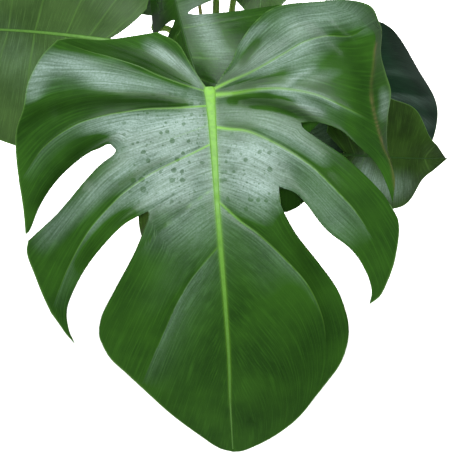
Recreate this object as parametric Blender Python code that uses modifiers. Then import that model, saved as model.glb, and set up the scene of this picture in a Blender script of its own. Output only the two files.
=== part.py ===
"""A potted swiss cheese plant: a young monstera with eight open leaves and one still rolled.

Metres, +Z up. The origin is the middle of the pot's base. +X is to the viewer's right and -Y is
towards the viewer, who looks down on the plant from VIEW_ELEVATION.
"""

import math

import bmesh
import bpy
import numpy as np
from mathutils import Vector

# Pot: a plain thrown flowerpot with a rim band.
POT_HEIGHT = 0.150
POT_RIM_RADIUS = 0.080
POT_BASE_RADIUS = 0.056
POT_WALL = 0.006
RIM_BAND_HEIGHT = 0.026
RIM_BAND_STEP = 0.004
RIM_BAND_TAPER = 0.001
EDGE_CHAMFER = 0.002
DRAIN_HOLE_RADIUS = 0.005
DRAIN_HOLE_CIRCLE = 0.026
DRAIN_HOLES = 3
TURNED_SIDES = 40

# Soil: level with the foot of the rim band, a little higher round the stem.
SOIL_LEVEL = 0.130
SOIL_MOUND = 0.006
GAP = 0.0003

# Stem: short and thick, with a swelling at each node.
STEM_RADIUS = 0.0105
STEM_FOOT = (0.002, 0.004, 0.085)
STEM_TOP = (0.000, 0.000, 0.245)
STEM_NODE_SPACING = 0.018
STEM_NODE_SWELL = 0.0012
STEM_TAPER = 0.12
STEM_POINTS = 45
STEM_ROUNDNESS = 3

# Every stalk starts this deep inside the stem.
SEAT_DEPTH = 0.003

# The eye of a viewer: the front leaf is drawn on a plane across its line of sight.
VIEW_ELEVATION = math.radians(48)
EYE_DISTANCE = 0.900
FRONT_ATTACH = (0.004, -0.216, 0.470)
FRONT_LEAF_WIDTH = 0.302
FRONT_WIDTH_IN_PIXELS = 382
PIXEL = FRONT_LEAF_WIDTH / FRONT_WIDTH_IN_PIXELS
ATTACH_PIXEL = (210, 92)
CENTRE_PIXEL = (230, 230)

# Blades
BLADE_THICKNESS = 0.0007
MIDRIB_THICKNESS = 0.0032
BLADE_STEP = 0.019
ROWS = 9
INNER_ROWS = 4

# The front leaf's midrib, from the bottom of the notch to where its last stretch begins, and its tip.
MIDRIB = [(209, 88), (210, 95), (212, 120), (214, 150), (217, 200), (220, 240), (225, 300), (229, 360),
          (230, 400)]
FRONT_TIP = (233, 452)

# Where the front leaf's petiole meets its midrib: the height in pixels, and how far behind the blade.
PETIOLE_PIXEL = 99
PETIOLE_SEAT = 0.0018

# The front leaf's form. It falls back from its crest to its notch, its tip and its sides, and lies in
# a valley along the midrib.
CREST = 0.105
NOTCH_FALL = 0.016
TIP_REACH = 0.178
TIP_FALL = 0.062
SIDE_REACH = 0.150
SIDE_FALL = 0.030
VALLEY_REACH = 0.020
VALLEY_DEPTH = 0.0065

# Ribs of the front leaf, in pixels: the height on the midrib where each leaves it, its path to the
# margin or to the inner end of a slit, and then the slit's two edges, base side first.
FRONT_LEFT_RIBS = [
    (88, "edge", [(205, 86), (193, 68), (186, 56), (180, 46), (172, 39), (157, 32)], [], []),
    (91, "vein", [(202, 90), (171, 80), (138, 66), (110, 57), (88, 51), (57, 40)], [], []),
    (106, "vein", [(176, 108), (147, 109), (125, 112), (103, 116), (73, 126), (44, 147), (19, 182)], [], []),
    (127, "slit", [(180, 131), (148, 140), (116, 150)],
     [(110, 144), (99, 147), (78, 160), (56, 181), (40, 205), (30, 229), (25.5, 234)],
     [(113, 155), (100, 165), (84, 182), (70, 199), (55, 216), (40, 230), (28, 241)]),
    (147, "vein", [(193, 153), (156, 171), (130, 188), (112, 204), (88, 232), (68, 268), (51, 313)], [], []),
    (180, "slit", [(190, 188), (170, 198), (148, 211)],
     [(138, 216), (123, 225), (106, 242), (89, 263), (76, 285), (67, 308), (68, 328), (74, 343)],
     [(149, 217), (144, 230), (134, 254), (117, 286), (103, 313), (99, 328)]),
    (240, "vein", [(205, 262), (191, 280), (180, 298), (171, 316), (157, 348), (141, 387)], [], []),
]
FRONT_RIGHT_RIBS = [
    (88, "edge",
     [(215, 86), (223, 74), (232, 61), (237, 48), (244, 36), (254, 23), (269, 10), (288, 4), (325, 1)], [], []),
    (91, "vein", [(228, 82), (253, 71), (283, 54), (304, 42), (326, 36), (350, 34), (368, 27)], [], []),
    (97, "vein", [(235, 92), (260, 88), (286, 89), (317, 95), (346, 108), (376, 123)], [], []),
    (112, "slit", [(240, 111), (272, 114), (301, 123)],
     [(316, 122), (339, 129), (359, 146), (377, 164), (387, 184), (393, 202)],
     [(304, 129), (321, 141), (342, 155), (365, 175), (384, 195), (392, 208)]),
    (127, "vein",
     [(228, 129), (250, 132), (282, 147), (311, 166), (335, 189), (356, 212), (373, 239), (390, 276)], [], []),
    (165, "slit", [(240, 168), (262, 176), (283, 187)],
     [(294, 192), (305, 202), (326, 229), (352, 250), (366, 271), (372, 290), (370, 304)],
     [(279, 193), (281, 206), (296, 234), (317, 261), (337, 289), (347, 316), (349, 332)]),
    (206, "vein", [(226, 213), (258, 234), (285, 259), (309, 287), (323, 320), (327, 355), (320, 391)], [], []),
]

# The margin from each rib's end to the next one's, and last to the tip.
FRONT_LEFT_MARGIN = [
    [(126, 37), (100, 40), (73, 38)],
    [(41, 57), (28, 83), (23, 109), (16, 131), (16, 155)],
    [(22, 200), (24, 216)],
    [(27, 254), (35, 276), (43, 296)],
    [(59, 324), (66, 334)],
    [(100, 339), (110, 358), (126, 373)],
    [(172, 415), (202, 437), (219, 448)],
]
FRONT_RIGHT_MARGIN = [
    [(336, 5), (353, 13)],
    [(375, 36), (374, 65), (371, 89), (373, 111)],
    [(383, 145), (391, 163), (395, 180)],
    [(398, 219), (399, 235), (395, 260)],
    [(381, 295)],
    [(347, 346), (339, 366)],
    [(298, 418), (273, 437), (246, 450)],
]
# The upper right lobe folds back along its margin. This is the edge of the strip beyond the fold.
FRONT_FOLD_EDGE = [
    [(326, 0), (350, 0), (371, 6), (379, 21)],
    [(379, 21), (382, 32), (381, 54), (386, 74), (391, 92), (388, 115)],
    [(388, 115), (387, 132), (388, 150), (393, 170), (393, 202)],
]
FOLD_DEPTH = 0.016

# How far behind the blade's surface each kind of rib lies: veins in troughs, slits on crests.
RELIEF = {"edge": 0.0, "vein": 0.0022, "slit": -0.0022, "tip": 0.0}

# Outlines of the other leaves, from the top of a basal lobe to the tip, in parts of the leaf's
# width and length.
HEART = [(0.15, 0.19), (0.30, 0.175), (0.43, 0.08), (0.50, -0.12), (0.47, -0.36), (0.36, -0.60),
         (0.20, -0.80), (0.06, -0.93), (0.0, -1.0)]
DRIP_TIPPED = [(0.15, 0.19), (0.30, 0.17), (0.41, 0.08), (0.51, -0.08), (0.43, -0.34), (0.36, -0.58),
               (0.17, -0.72), (0.09, -0.85), (0.0, -1.0)]

# Lateral veins start along this share of the length, closer together near the stalk. Slits widen as
# this power of their length.
MIDRIB_SHARE = 0.86
MIDRIB_POWER = 1.25
VEIN_LIFT = 0.05
SLIT_POWER = 0.5

# The trough along a midrib in parts of the leaf's width, and the ripples from stalk to tip.
TROUGH_DEPTH = 0.03
TROUGH_WIDTH = 0.10
RIPPLES = 2.6
RIPPLE_START = {"R": 0.15, "L": 0.55}


def leaf(attach, tip, face, length, width, bend, curl, fold=0.0, wave=0.004, slits=(), lobe=1.0, outline=HEART):
    """One of the other leaves: where it hangs, which way its tip and its upper face point, and its form."""
    return dict(attach=attach, tip=tip, face=face, length=length, width=width, bend=bend, curl=curl,
                fold=fold, wave=wave, slits=slits, lobe=lobe, outline=outline)


# A slit is its place along the midrib, how near the midrib it starts, its half opening and its sides.
LEAVES = {
    "upper_left": leaf((-0.092, -0.082, 0.415), (-0.97, 0.24, -0.02), (0.00, -0.60, 0.80), 0.265, 0.222, 45, 25,
                       lobe=0.62),
    "notch": leaf((-0.005, -0.151, 0.411), (-0.306, 0.786, 0.537), (-0.515, -0.653, 0.555), 0.229, 0.174, 20, 30,
                  fold=-33, slits=((0.463, 0.105, 0.046, "LR"), (0.68, 0.35, 0.035, "LR"))),
    "back_left": leaf((-0.040, 0.018, 0.369), (-0.65, 0.74, 0.15), (0.55, 0.35, 0.76), 0.190, 0.120, 35, 20,
                      slits=((0.34, 0.25, 0.060, "LR"), (0.58, 0.35, 0.035, "LR")), lobe=0.5),
    "right": leaf((0.143, -0.009, 0.355), (0.151, -0.979, -0.140), (0.469, -0.636, 0.612), 0.186, 0.211, 30, 25),
    "small": leaf((0.122, -0.185, 0.371), (0.986, 0.052, -0.160), (0.122, -0.803, 0.584), 0.110, 0.123, 37, 32,
                  wave=0.003, outline=DRIP_TIPPED),
    "top": leaf((0.060, 0.068, 0.500), (-0.08, -0.95, -0.30), (0.05, -0.30, 0.95), 0.160, 0.142, 35, 20,
                slits=((0.50, 0.40, 0.035, "L"),)),
    "back": leaf((0.030, 0.110, 0.400), (0.30, 0.88, -0.30), (0.10, 0.35, 0.93), 0.230, 0.200, 45, 25,
                 slits=((0.36, 0.35, 0.045, "LR"), (0.60, 0.40, 0.035, "LR"))),
}

# Petioles: height on the stem and bearing where each grows, the middle of its path, and its radii.
PETIOLES = {
    "front": (0.226, -92, [(0.003, -0.085, 0.265), (0.004, -0.150, 0.370)], 0.0050, 0.0038),
    "upper_left": (0.205, 195, [(-0.045, -0.014, 0.270), (-0.085, -0.050, 0.350)], 0.0048, 0.0032),
    "notch": (0.195, -75, [(0.020, -0.062, 0.232), (0.024, -0.112, 0.330)], 0.0042, 0.0030),
    "back_left": (0.222, 150, [(-0.022, 0.020, 0.290), (-0.040, 0.032, 0.335)], 0.0042, 0.0028),
    "right": (0.200, -5, [(0.058, 0.000, 0.250), (0.112, 0.018, 0.314)], 0.0045, 0.0030),
    "small": (0.180, -35, [(0.047, -0.085, 0.225), (0.092, -0.175, 0.305)], 0.0036, 0.0022),
    "top": (0.236, 60, [(0.010, 0.016, 0.310), (0.006, 0.018, 0.371), (0.014, 0.045, 0.440)], 0.0042, 0.0028),
    "back": (0.212, 100, [(0.012, 0.070, 0.255), (0.026, 0.108, 0.340)], 0.0044, 0.0030),
}
PETIOLE_POINTS = 14
PETIOLE_RISE = math.radians(25)
PETIOLE_LEAD = 0.011
ATTACH_INSET = 0.006

# A petiole's knee: a straight end below the blade, and how much and how far it swells there.
KNEE_LENGTH = 0.022
KNEE_MIDDLE = 0.012
KNEE_SWELL = 0.25
KNEE_REACH = 0.06

# The rolled new leaf: a thin stalk that widens into a pointed spear.
ROLLED_PATH = [(-0.001, 0.004, 0.2455), (-0.006, 0.014, 0.320), (-0.010, 0.021, 0.373),
               (-0.021, 0.034, 0.470), (-0.028, 0.042, 0.540), (-0.031, 0.045, 0.605)]
ROLLED_RADII = [0.0022, 0.0019, 0.0017, 0.0024, 0.0048, 0.0006]
ROLLED_POINTS = 14

# Aerial roots: bearing and height on the stem, how far out they reach the soil, and their radius.
ROOTS = [(-150, 0.168, 0.034, 0.0016), (20, 0.158, 0.030, 0.0018), (80, 0.174, 0.040, 0.0014)]
ROOT_POINTS = 9
ROOT_DEPTH = 0.020
ROOT_RISE = math.radians(-20)
ROOT_LEAD = 0.009
ROOT_BOW = 0.004
ROOT_TAPER = 0.35


def clear_scene():
    """Empty the scene, so that only the plant is in it."""
    for obj in list(bpy.data.objects):
        bpy.data.objects.remove(obj, do_unlink=True)


def collection(name):
    """A new collection under the scene's own."""
    made = bpy.data.collections.new(name)
    bpy.context.scene.collection.children.link(made)
    return made


def material(name, colour, roughness):
    """A Principled material of one colour."""
    made = bpy.data.materials.new(name)
    made.use_nodes = True
    shader = made.node_tree.nodes["Principled BSDF"]
    shader.inputs["Base Color"].default_value = (*colour, 1.0)
    shader.inputs["Roughness"].default_value = roughness
    shader.inputs["Metallic"].default_value = 0.0
    return made


def add_object(name, data, finish, group):
    """Link a mesh or a curve as an object with one material."""
    obj = bpy.data.objects.new(name, data)
    if finish:
        data.materials.append(finish)
    group.objects.link(obj)
    return obj


def unit(v):
    """The vector v at length one."""
    v = np.asarray(v, float)
    return v / np.linalg.norm(v)


def spline(points, shares):
    """A Catmull-Rom curve through the points, read at these shares of its length."""
    p = np.asarray(points, float)
    p = np.vstack([2 * p[0] - p[1], p, 2 * p[-1] - p[-2]])
    t = np.linspace(0, 1, 16, endpoint=False)[:, None]
    pieces = [
        0.5 * (2 * b + (c - a) * t + (2 * a - 5 * b + 4 * c - d) * t**2 + (3 * b - a - 3 * c + d) * t**3)
        for a, b, c, d in zip(p[:-3], p[1:-2], p[2:-1], p[3:])
    ]
    fine = np.vstack([*pieces, p[-2]])
    run = np.concatenate([[0], np.cumsum(np.linalg.norm(np.diff(fine, axis=0), axis=1))])
    at = np.asarray(shares) * run[-1]
    return np.stack([np.interp(at, run, fine[:, k]) for k in range(fine.shape[1])], axis=-1)


def turned(name, profile, finish, group, sides=TURNED_SIDES):
    """A solid of revolution from a profile of (radius, height) points that runs down its outer side."""
    mesh = bpy.data.meshes.new(name)
    mesh.from_pydata([(r, 0, z) for r, z in profile], [(i, i + 1) for i in range(len(profile) - 1)], [])
    obj = add_object(name, mesh, finish, group)
    screw = obj.modifiers.new("Screw", "SCREW")
    screw.steps = screw.render_steps = sides
    screw.use_merge_vertices = True
    screw.merge_threshold = 0.0001
    return obj


def tube(name, points, radii, finish, group, resolution=2):
    """A round tube with closed ends along the points, with its own radius at each."""
    curve = bpy.data.curves.new(name, "CURVE")
    curve.dimensions = "3D"
    curve.bevel_depth = 1.0
    curve.bevel_resolution = resolution
    curve.use_fill_caps = True
    line = curve.splines.new("POLY")
    line.points.add(len(points) - 1)
    for at, point, radius in zip(line.points, points, radii):
        at.co = (*point, 1.0)
        at.radius = radius
    return add_object(name, curve, finish, group)


def as_mesh(obj, group):
    """The same object with its curve turned into a welded mesh."""
    graph = bpy.context.evaluated_depsgraph_get()
    mesh = bpy.data.meshes.new_from_object(obj.evaluated_get(graph))
    work = bmesh.new()
    work.from_mesh(mesh)
    bmesh.ops.remove_doubles(work, verts=work.verts, dist=0.00001)
    work.to_mesh(mesh)
    work.free()
    name = obj.name
    bpy.data.objects.remove(obj, do_unlink=True)
    made = bpy.data.objects.new(name, mesh)
    group.objects.link(made)
    return made


def cut(obj, cutter):
    """Take the cutter's shape away from the object."""
    cutter.hide_render = True
    cutter.display_type = "WIRE"
    modifier = obj.modifiers.new(cutter.name, "BOOLEAN")
    modifier.operation = "DIFFERENCE"
    modifier.object = cutter


def fitted_stalk(name, path, finish, group, stem_cutter, resolution=2):
    """A stalk that starts inside the stem, cut back to the stem's skin so that it clasps it."""
    points, radii = path
    stalk = as_mesh(tube(name, points, radii, finish, group, resolution), group)
    cut(stalk, stem_cutter)


def pot_inner_radius(z):
    """Radius of the pot's inside at a height."""
    slope = (POT_RIM_RADIUS - RIM_BAND_STEP - POT_BASE_RADIUS) / POT_HEIGHT
    return POT_BASE_RADIUS + slope * z - POT_WALL


def make_pot(finish, group, cutters):
    """The pot: a tapered wall, a thicker band at the rim and a flat floor with three drain holes."""
    band = POT_HEIGHT - RIM_BAND_HEIGHT
    lip = EDGE_CHAMFER
    profile = [
        (0, POT_WALL),
        (pot_inner_radius(POT_WALL), POT_WALL),
        (pot_inner_radius(POT_HEIGHT), POT_HEIGHT - lip),
        (pot_inner_radius(POT_HEIGHT) + lip, POT_HEIGHT),
        (POT_RIM_RADIUS - lip, POT_HEIGHT),
        (POT_RIM_RADIUS, POT_HEIGHT - lip),
        (POT_RIM_RADIUS - RIM_BAND_TAPER, band + lip),
        (POT_RIM_RADIUS - lip, band),
        (pot_inner_radius(band) + POT_WALL, band),
        (POT_BASE_RADIUS, lip),
        (POT_BASE_RADIUS - lip, 0),
        (0, 0),
    ]
    pot = turned("pot", profile, finish, group)
    for k in range(DRAIN_HOLES):
        bearing = math.tau * k / DRAIN_HOLES
        bpy.ops.mesh.primitive_cylinder_add(vertices=16, radius=DRAIN_HOLE_RADIUS, depth=5 * POT_WALL)
        hole = bpy.context.object
        hole.name = f"drain_cutter_{k}"
        hole.location = (DRAIN_HOLE_CIRCLE * math.cos(bearing), DRAIN_HOLE_CIRCLE * math.sin(bearing), 0)
        for owner in list(hole.users_collection):
            owner.objects.unlink(hole)
        cutters.objects.link(hole)
        cut(pot, hole)
    return pot


def make_soil(finish, group, stems, cutters):
    """The soil: a tapered plug that mounds up to the stem, with a plain hole for each stem and root."""
    low = POT_WALL + GAP
    rings = np.linspace(1, 0, 6)[1:-1]
    edge = pot_inner_radius(SOIL_LEVEL) - GAP
    profile = [(0, SOIL_LEVEL + SOIL_MOUND)]
    profile += [(edge * r, SOIL_LEVEL + SOIL_MOUND * math.cos(math.pi * r / 2) ** 2) for r in rings[::-1]]
    profile += [(edge, SOIL_LEVEL), (pot_inner_radius(low) - GAP, low), (0, low)]
    soil = turned("soil", profile, finish, group)
    for name, points, radii, sides in stems:
        ends = points[0] - unit(points[1] - points[0]) * GAP, points[-1] + unit(points[-1] - points[-2]) * GAP
        path = [ends[0], *points[1:-1], ends[1]]
        fat = tube(f"{name}_cutter", path, [r + 2 * GAP for r in radii], None, cutters, sides)
        cut(soil, as_mesh(fat, cutters))
    return soil


def stem_radius(height):
    """The stem's radius at a height: it tapers, and swells a little at each node."""
    share = (height - STEM_FOOT[2]) / (STEM_TOP[2] - STEM_FOOT[2])
    swell = np.abs(np.cos(np.pi * (height - STEM_FOOT[2]) / STEM_NODE_SPACING)) ** 6
    return STEM_RADIUS * (1 - STEM_TAPER * share) + STEM_NODE_SWELL * swell


def stem_path():
    """Points and radii along the stem."""
    heights = np.linspace(STEM_FOOT[2], STEM_TOP[2], STEM_POINTS)
    return stem_at(heights[:, None]), stem_radius(heights)


def stem_at(height):
    """The stem's axis at a height."""
    foot, top = np.array(STEM_FOOT), np.array(STEM_TOP)
    return foot + (top - foot) * (height - foot[2]) / (top[2] - foot[2])


def seat_on_stem(height, bearing, rise):
    """Where the axis of a stalk that rises this steeply starts, just inside the stem, and its direction."""
    out = np.array([math.cos(math.radians(bearing)), math.sin(math.radians(bearing)), 0])
    start = stem_at(height) + out * (stem_radius(height) - SEAT_DEPTH)
    return start, unit(out * math.cos(rise) + np.array([0, 0, math.sin(rise)]))


def petiole_path(name, attach, face):
    """A petiole's points and radii, from its seat on the stem to the underside of its blade."""
    height, bearing, middle, thick, thin = PETIOLES[name]
    seat, out = seat_on_stem(height, bearing, PETIOLE_RISE)
    end = np.asarray(attach) - face * (MIDRIB_THICKNESS + GAP)
    points = [seat, seat + out * PETIOLE_LEAD, *middle, end - face * KNEE_LENGTH, end]
    share = np.concatenate([[0, 0.02], np.linspace(0.06, 1, PETIOLE_POINTS - 2)])
    swell = KNEE_SWELL * np.exp(-(((1 - share) / KNEE_REACH) ** 2))
    path = spline(points, share)
    path[-2] = end - face * KNEE_MIDDLE
    return path, (thick + (thin - thick) * share**0.7) * (1 + swell)


def grid_faces(rows, columns, first, flip):
    """Triangles over a grid of points that is stored row by row."""
    i, j = np.meshgrid(np.arange(rows - 1), np.arange(columns - 1), indexing="ij")
    a = (first + i * columns + j).ravel()
    b, c, d = a + 1, a + columns + 1, a + columns
    faces = np.vstack([np.stack([a, b, d], 1), np.stack([b, c, d], 1)])
    return faces[:, ::-1] if flip else faces


def blade_solid(name, patches, weights, up, finish, group):
    """A closed blade: the patches joined at their edges, given thickness on the underside.

    A patch is a grid of points and whether it is turned over. The weights thicken the midrib.
    """
    faces = []
    first = 0
    for points, flip in patches:
        faces.append(grid_faces(*points.shape[:2], first, flip))
        first += points.shape[0] * points.shape[1]
    points = np.concatenate([p.reshape(-1, 3) for p, _ in patches])
    faces = np.vstack(faces)
    mesh = bpy.data.meshes.new(name)
    mesh.from_pydata(points.tolist(), [], faces.tolist())
    obj = add_object(name, mesh, finish, group)
    ribs = obj.vertex_groups.new(name="thickness")
    for index, weight in enumerate(np.concatenate([w.ravel() for w in weights])):
        ribs.add([index], float(weight), "REPLACE")
    work = bmesh.new()
    work.from_mesh(mesh)
    bmesh.ops.remove_doubles(work, verts=work.verts, dist=0.00005)
    bmesh.ops.dissolve_degenerate(work, edges=work.edges, dist=0.00002)
    bmesh.ops.triangulate(work, faces=work.faces)
    bmesh.ops.recalc_face_normals(work, faces=work.faces)
    total = sum((f.normal * f.calc_area() for f in work.faces), Vector())
    if total.dot(Vector(up)) < 0:
        bmesh.ops.reverse_faces(work, faces=work.faces)
    work.to_mesh(mesh)
    work.free()
    shell = obj.modifiers.new("Solidify", "SOLIDIFY")
    shell.thickness = MIDRIB_THICKNESS
    shell.offset = -1
    shell.vertex_group = "thickness"
    shell.thickness_vertex_group = BLADE_THICKNESS / MIDRIB_THICKNESS
    return obj


def rib_thickness(rows, columns, along):
    """Weights of the midrib's thickness: full at the leaf's base, none away from the midrib."""
    weight = np.zeros((columns, rows))
    weight[:, 0] = 0.95 * (1 - along) ** 1.5 + 0.05
    return weight


def coons(bottom, top, side_a, side_b):
    """A grid between four curves: columns run from the bottom curve to the top one."""
    q = np.linspace(0, 1, len(bottom))[:, None, None]
    t = np.linspace(0, 1, len(side_a))[None, :, None]
    ruled = (1 - t) * bottom[:, None] + t * top[:, None] + (1 - q) * side_a[None] + q * side_b[None]
    corners = (1 - q) * ((1 - t) * bottom[0] + t * top[0]) + q * ((1 - t) * bottom[-1] + t * top[-1])
    return ruled - corners


def front_rib(start, rib, side):
    """A rib of the front leaf at ROWS + 1 points. side 1 follows a slit's base side, 2 its tip side."""
    inner, edge = rib[2], rib[2 + side]
    if not edge:
        return spline([start, *inner], np.linspace(0, 1, ROWS + 1))
    near = spline([start, *inner], np.linspace(0, 1, INNER_ROWS + 1))
    far = spline([inner[-1], *edge], np.linspace(0, 1, ROWS - INNER_ROWS + 1))
    return np.vstack([near, far[1:]])


def midrib_at(height):
    """The front leaf's midrib at a pixel height."""
    line = spline(MIDRIB, np.linspace(0, 1, 200))
    return np.stack([np.interp(height, line[:, 1], line[:, 0]), np.asarray(height, float)], axis=-1)


def front_columns():
    """Heights on the midrib where the front leaf's grid lines start: every rib and steps between."""
    stops = sorted({rib[0] for rib in FRONT_LEFT_RIBS + FRONT_RIGHT_RIBS} | {MIDRIB[-1][1]})
    heights = [stops[0]]
    for low, high in zip(stops, stops[1:]):
        longest = 0
        for ribs, margins in ((FRONT_LEFT_RIBS, FRONT_LEFT_MARGIN), (FRONT_RIGHT_RIBS, FRONT_RIGHT_MARGIN)):
            k = max(i for i, rib in enumerate(ribs) if rib[0] <= low)
            end = ribs[k + 1][0] if k + 1 < len(ribs) else MIDRIB[-1][1]
            curve = np.array(front_top(ribs, margins, k))
            length = np.linalg.norm(np.diff(curve, axis=0), axis=1).sum() * PIXEL
            longest = max(longest, length * (high - low) / (end - ribs[k][0]))
        steps = max(1, round(longest / BLADE_STEP))
        heights += list(np.linspace(low, high, steps + 1)[1:])
    return np.array(heights)


def front_top(ribs, margins, k):
    """The margin of strip k, from its first rib's end to its second rib's end or the tip."""
    first = ribs[k][4] or ribs[k][2]
    last = (ribs[k + 1][3] or ribs[k + 1][2])[-1] if k + 1 < len(ribs) else FRONT_TIP
    return [first[-1], *margins[k], last]


def front_depth(pixels):
    """How far behind the drawing plane the front leaf lies at these pixels.

    The blade arches over: it falls back towards its notch, its tip and its sides, and it lies in a
    shallow valley along the midrib.
    """
    line = spline([*MIDRIB, FRONT_TIP], np.linspace(0, 1, 200))
    x = (pixels[..., 0] - ATTACH_PIXEL[0]) * PIXEL
    beside = (pixels[..., 0] - np.interp(pixels[..., 1], line[:, 1], line[:, 0])) * PIXEL
    past = (pixels[..., 1] - ATTACH_PIXEL[1]) * PIXEL - CREST
    arch = np.where(past < 0, NOTCH_FALL * (past / CREST) ** 2, TIP_FALL * (past / TIP_REACH) ** 2)
    sides = SIDE_FALL * (np.abs(x) / SIDE_REACH) ** 2.2
    valley = VALLEY_DEPTH * (1 - np.exp(-((beside / VALLEY_REACH) ** 2)))
    return arch + sides - valley


def view_axes():
    """The viewer's right, up and line of sight."""
    s, c = math.sin(VIEW_ELEVATION), math.cos(VIEW_ELEVATION)
    return np.array([1, 0, 0]), np.array([0, s, c]), np.array([0, c, -s])


def on_sight_line(pixels, depth):
    """Points that the viewer sees at these pixels, this far behind the front leaf's plane."""
    right, up, sight = view_axes()
    across = (pixels - np.array(CENTRE_PIXEL)) * PIXEL
    middle = (np.array(ATTACH_PIXEL) - np.array(CENTRE_PIXEL)) * PIXEL
    centre = np.array(FRONT_ATTACH) - middle[0] * right + middle[1] * up
    plane = across[..., :1] * right - across[..., 1:] * up
    far = 1 + depth[..., None] / EYE_DISTANCE
    return centre + plane * far + depth[..., None] * sight


def place_front(grid, extra):
    """Lay a grid of pixels out in space with the blade's relief."""
    return on_sight_line(grid, front_depth(grid) + extra)


def front_half(ribs, margins, folds, heights, flip):
    """The strips of one half of the front leaf, each between two ribs."""
    patches = []
    weights = []
    stops = [rib[0] for rib in ribs] + [MIDRIB[-1][1]]
    rows = np.linspace(0, 1, ROWS + 1)
    reach = FRONT_TIP[1] - MIDRIB[0][1]
    for k in range(len(ribs)):
        at = heights[(heights > stops[k] - 0.01) & (heights < stops[k + 1] + 0.01)]
        share = (at - stops[k]) / (stops[k + 1] - stops[k])
        bottom = midrib_at(at)
        top = spline(front_top(ribs, margins, k), share)
        side_a = front_rib(bottom[0], ribs[k], 2)
        last = k + 1 == len(ribs)
        side_b = spline([bottom[-1], FRONT_TIP], rows) if last else front_rib(bottom[-1], ribs[k + 1], 1)
        grid = coons(bottom, top, side_a, side_b)
        ends = RELIEF[ribs[k][1]], RELIEF["tip" if last else ribs[k + 1][1]]
        ease = 0.5 - 0.5 * np.cos(np.pi * share)
        height = ends[0] + (ends[1] - ends[0]) * ease
        extra = height[:, None] * np.sin(np.pi * rows[None, :] ** 0.8)
        patches.append((place_front(grid, extra), flip))
        weights.append(rib_thickness(ROWS + 1, len(at), (at - MIDRIB[0][1]) / reach))
        if k < len(folds):
            edge = spline(folds[k], share)
            over = np.linspace(0, 1, 3)[None, :, None]
            strip = top[:, None] * (1 - over) + edge[:, None] * over
            deep = np.broadcast_to(FOLD_DEPTH * over[..., 0] ** 0.7, strip.shape[:2]) + 0
            if k == len(folds) - 1:
                deep = deep * (1 - share[:, None])
            patches.append((place_front(strip, deep), flip))
            weights.append(np.zeros(strip.shape[:2]))
    return patches, weights


def make_front_blade(finish, group):
    """The front leaf's blade, strip by strip from its measured outline."""
    heights = front_columns()
    left, left_weights = front_half(FRONT_LEFT_RIBS, FRONT_LEFT_MARGIN, [], heights, True)
    right, right_weights = front_half(FRONT_RIGHT_RIBS, FRONT_RIGHT_MARGIN, FRONT_FOLD_EDGE, heights, False)
    up = -view_axes()[2]
    return blade_solid("front_blade", left + right, left_weights + right_weights, up, finish, group)


def vein_point(spec, u, t):
    """The point at share t of the lateral vein u: a quadratic curve from the midrib to the margin."""
    length, width = spec["length"], spec["width"]
    share = np.linspace(0, 1, 60)
    drawn = [(x * width, y * length * (spec["lobe"] if y > 0 else 1)) for x, y in spec["outline"]]
    margin = spline(drawn, share)
    end = np.stack([np.interp(u, share, margin[:, 0]), np.interp(u, share, margin[:, 1])], -1)
    start = np.stack([0 * u, -length * MIDRIB_SHARE * np.maximum(u, 0) ** MIDRIB_POWER], -1)
    lift = VEIN_LIFT * length * (1 - u)
    turn = np.stack([0.5 * end[..., 0], start[..., 1] + 0.3 * (end[..., 1] - start[..., 1]) + lift], -1)
    t = t[..., None]
    return (1 - t) ** 2 * start + 2 * t * (1 - t) * turn + t**2 * end


def bent(spec, x, y, lift):
    """Curve the flat blade down along its midrib and across it, and fold its halves."""
    length, width = spec["length"], spec["width"]
    fold = math.radians(spec["fold"])
    lift = lift + np.abs(x) * math.sin(fold)
    x = x * math.cos(fold)
    across = math.radians(spec["curl"]) / (width / 2)
    along = math.radians(spec["bend"]) / length
    lift = lift - (1 - np.cos(across * x)) / across
    x = np.sin(across * x) / across
    run = -y
    return x, -np.sin(along * run) / along, lift - (1 - np.cos(along * run)) / along


def leaf_frame(spec):
    """The leaf's side, tip and face directions, at right angles to each other."""
    tip = unit(spec["tip"])
    face = np.asarray(spec["face"], float)
    face = unit(face - tip * face.dot(tip))
    return np.cross(-tip, face), tip, face


def leaf_half(spec, side, columns):
    """The strips of one half of a leaf, between its slits."""
    sign = 1 if side == "R" else -1
    slits = [s for s in spec["slits"] if side in s[3]]
    stops = [(0.0, 0.4, 0.0), *[s[:3] for s in slits], (1.0, 0.4, 0.0)]
    rows = np.arange(ROWS + 1)
    across, tip, face = leaf_frame(spec)
    patches = []
    weights = []
    for low, high in zip(stops, stops[1:]):
        u = columns[(columns > low[0] - 0.001) & (columns < high[0] + 0.001)]
        q = ((u - low[0]) / (high[0] - low[0]))[:, None]
        inner = low[1] + (high[1] - low[1]) * q
        near = rows[None] / INNER_ROWS * inner
        far = inner + (1 - inner) * (rows[None] - INNER_ROWS) / (ROWS - INNER_ROWS)
        t = np.where(rows[None] <= INNER_ROWS, near, far)
        open_low = low[2] * np.clip((t - inner) / (1 - inner), 0, 1) ** SLIT_POWER
        open_high = high[2] * np.clip((t - inner) / (1 - inner), 0, 1) ** SLIT_POWER
        place = (low[0] + open_low) * (1 - q) + (high[0] - open_high) * q
        flat = vein_point(spec, place, t)
        ripple = spec["wave"] * np.sin(math.tau * (RIPPLES * place + RIPPLE_START[side])) * t**2
        beside = np.exp(-((flat[..., 0] / (TROUGH_WIDTH * spec["width"])) ** 2))
        trough = TROUGH_DEPTH * spec["width"] * (1 - beside)
        x, y, z = bent(spec, flat[..., 0] * sign, flat[..., 1], ripple + trough)
        points = np.array(spec["attach"]) + x[..., None] * across - y[..., None] * tip + z[..., None] * face
        patches.append((points, side == "L"))
        weights.append(rib_thickness(ROWS + 1, len(u), u))
    return patches, weights


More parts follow.
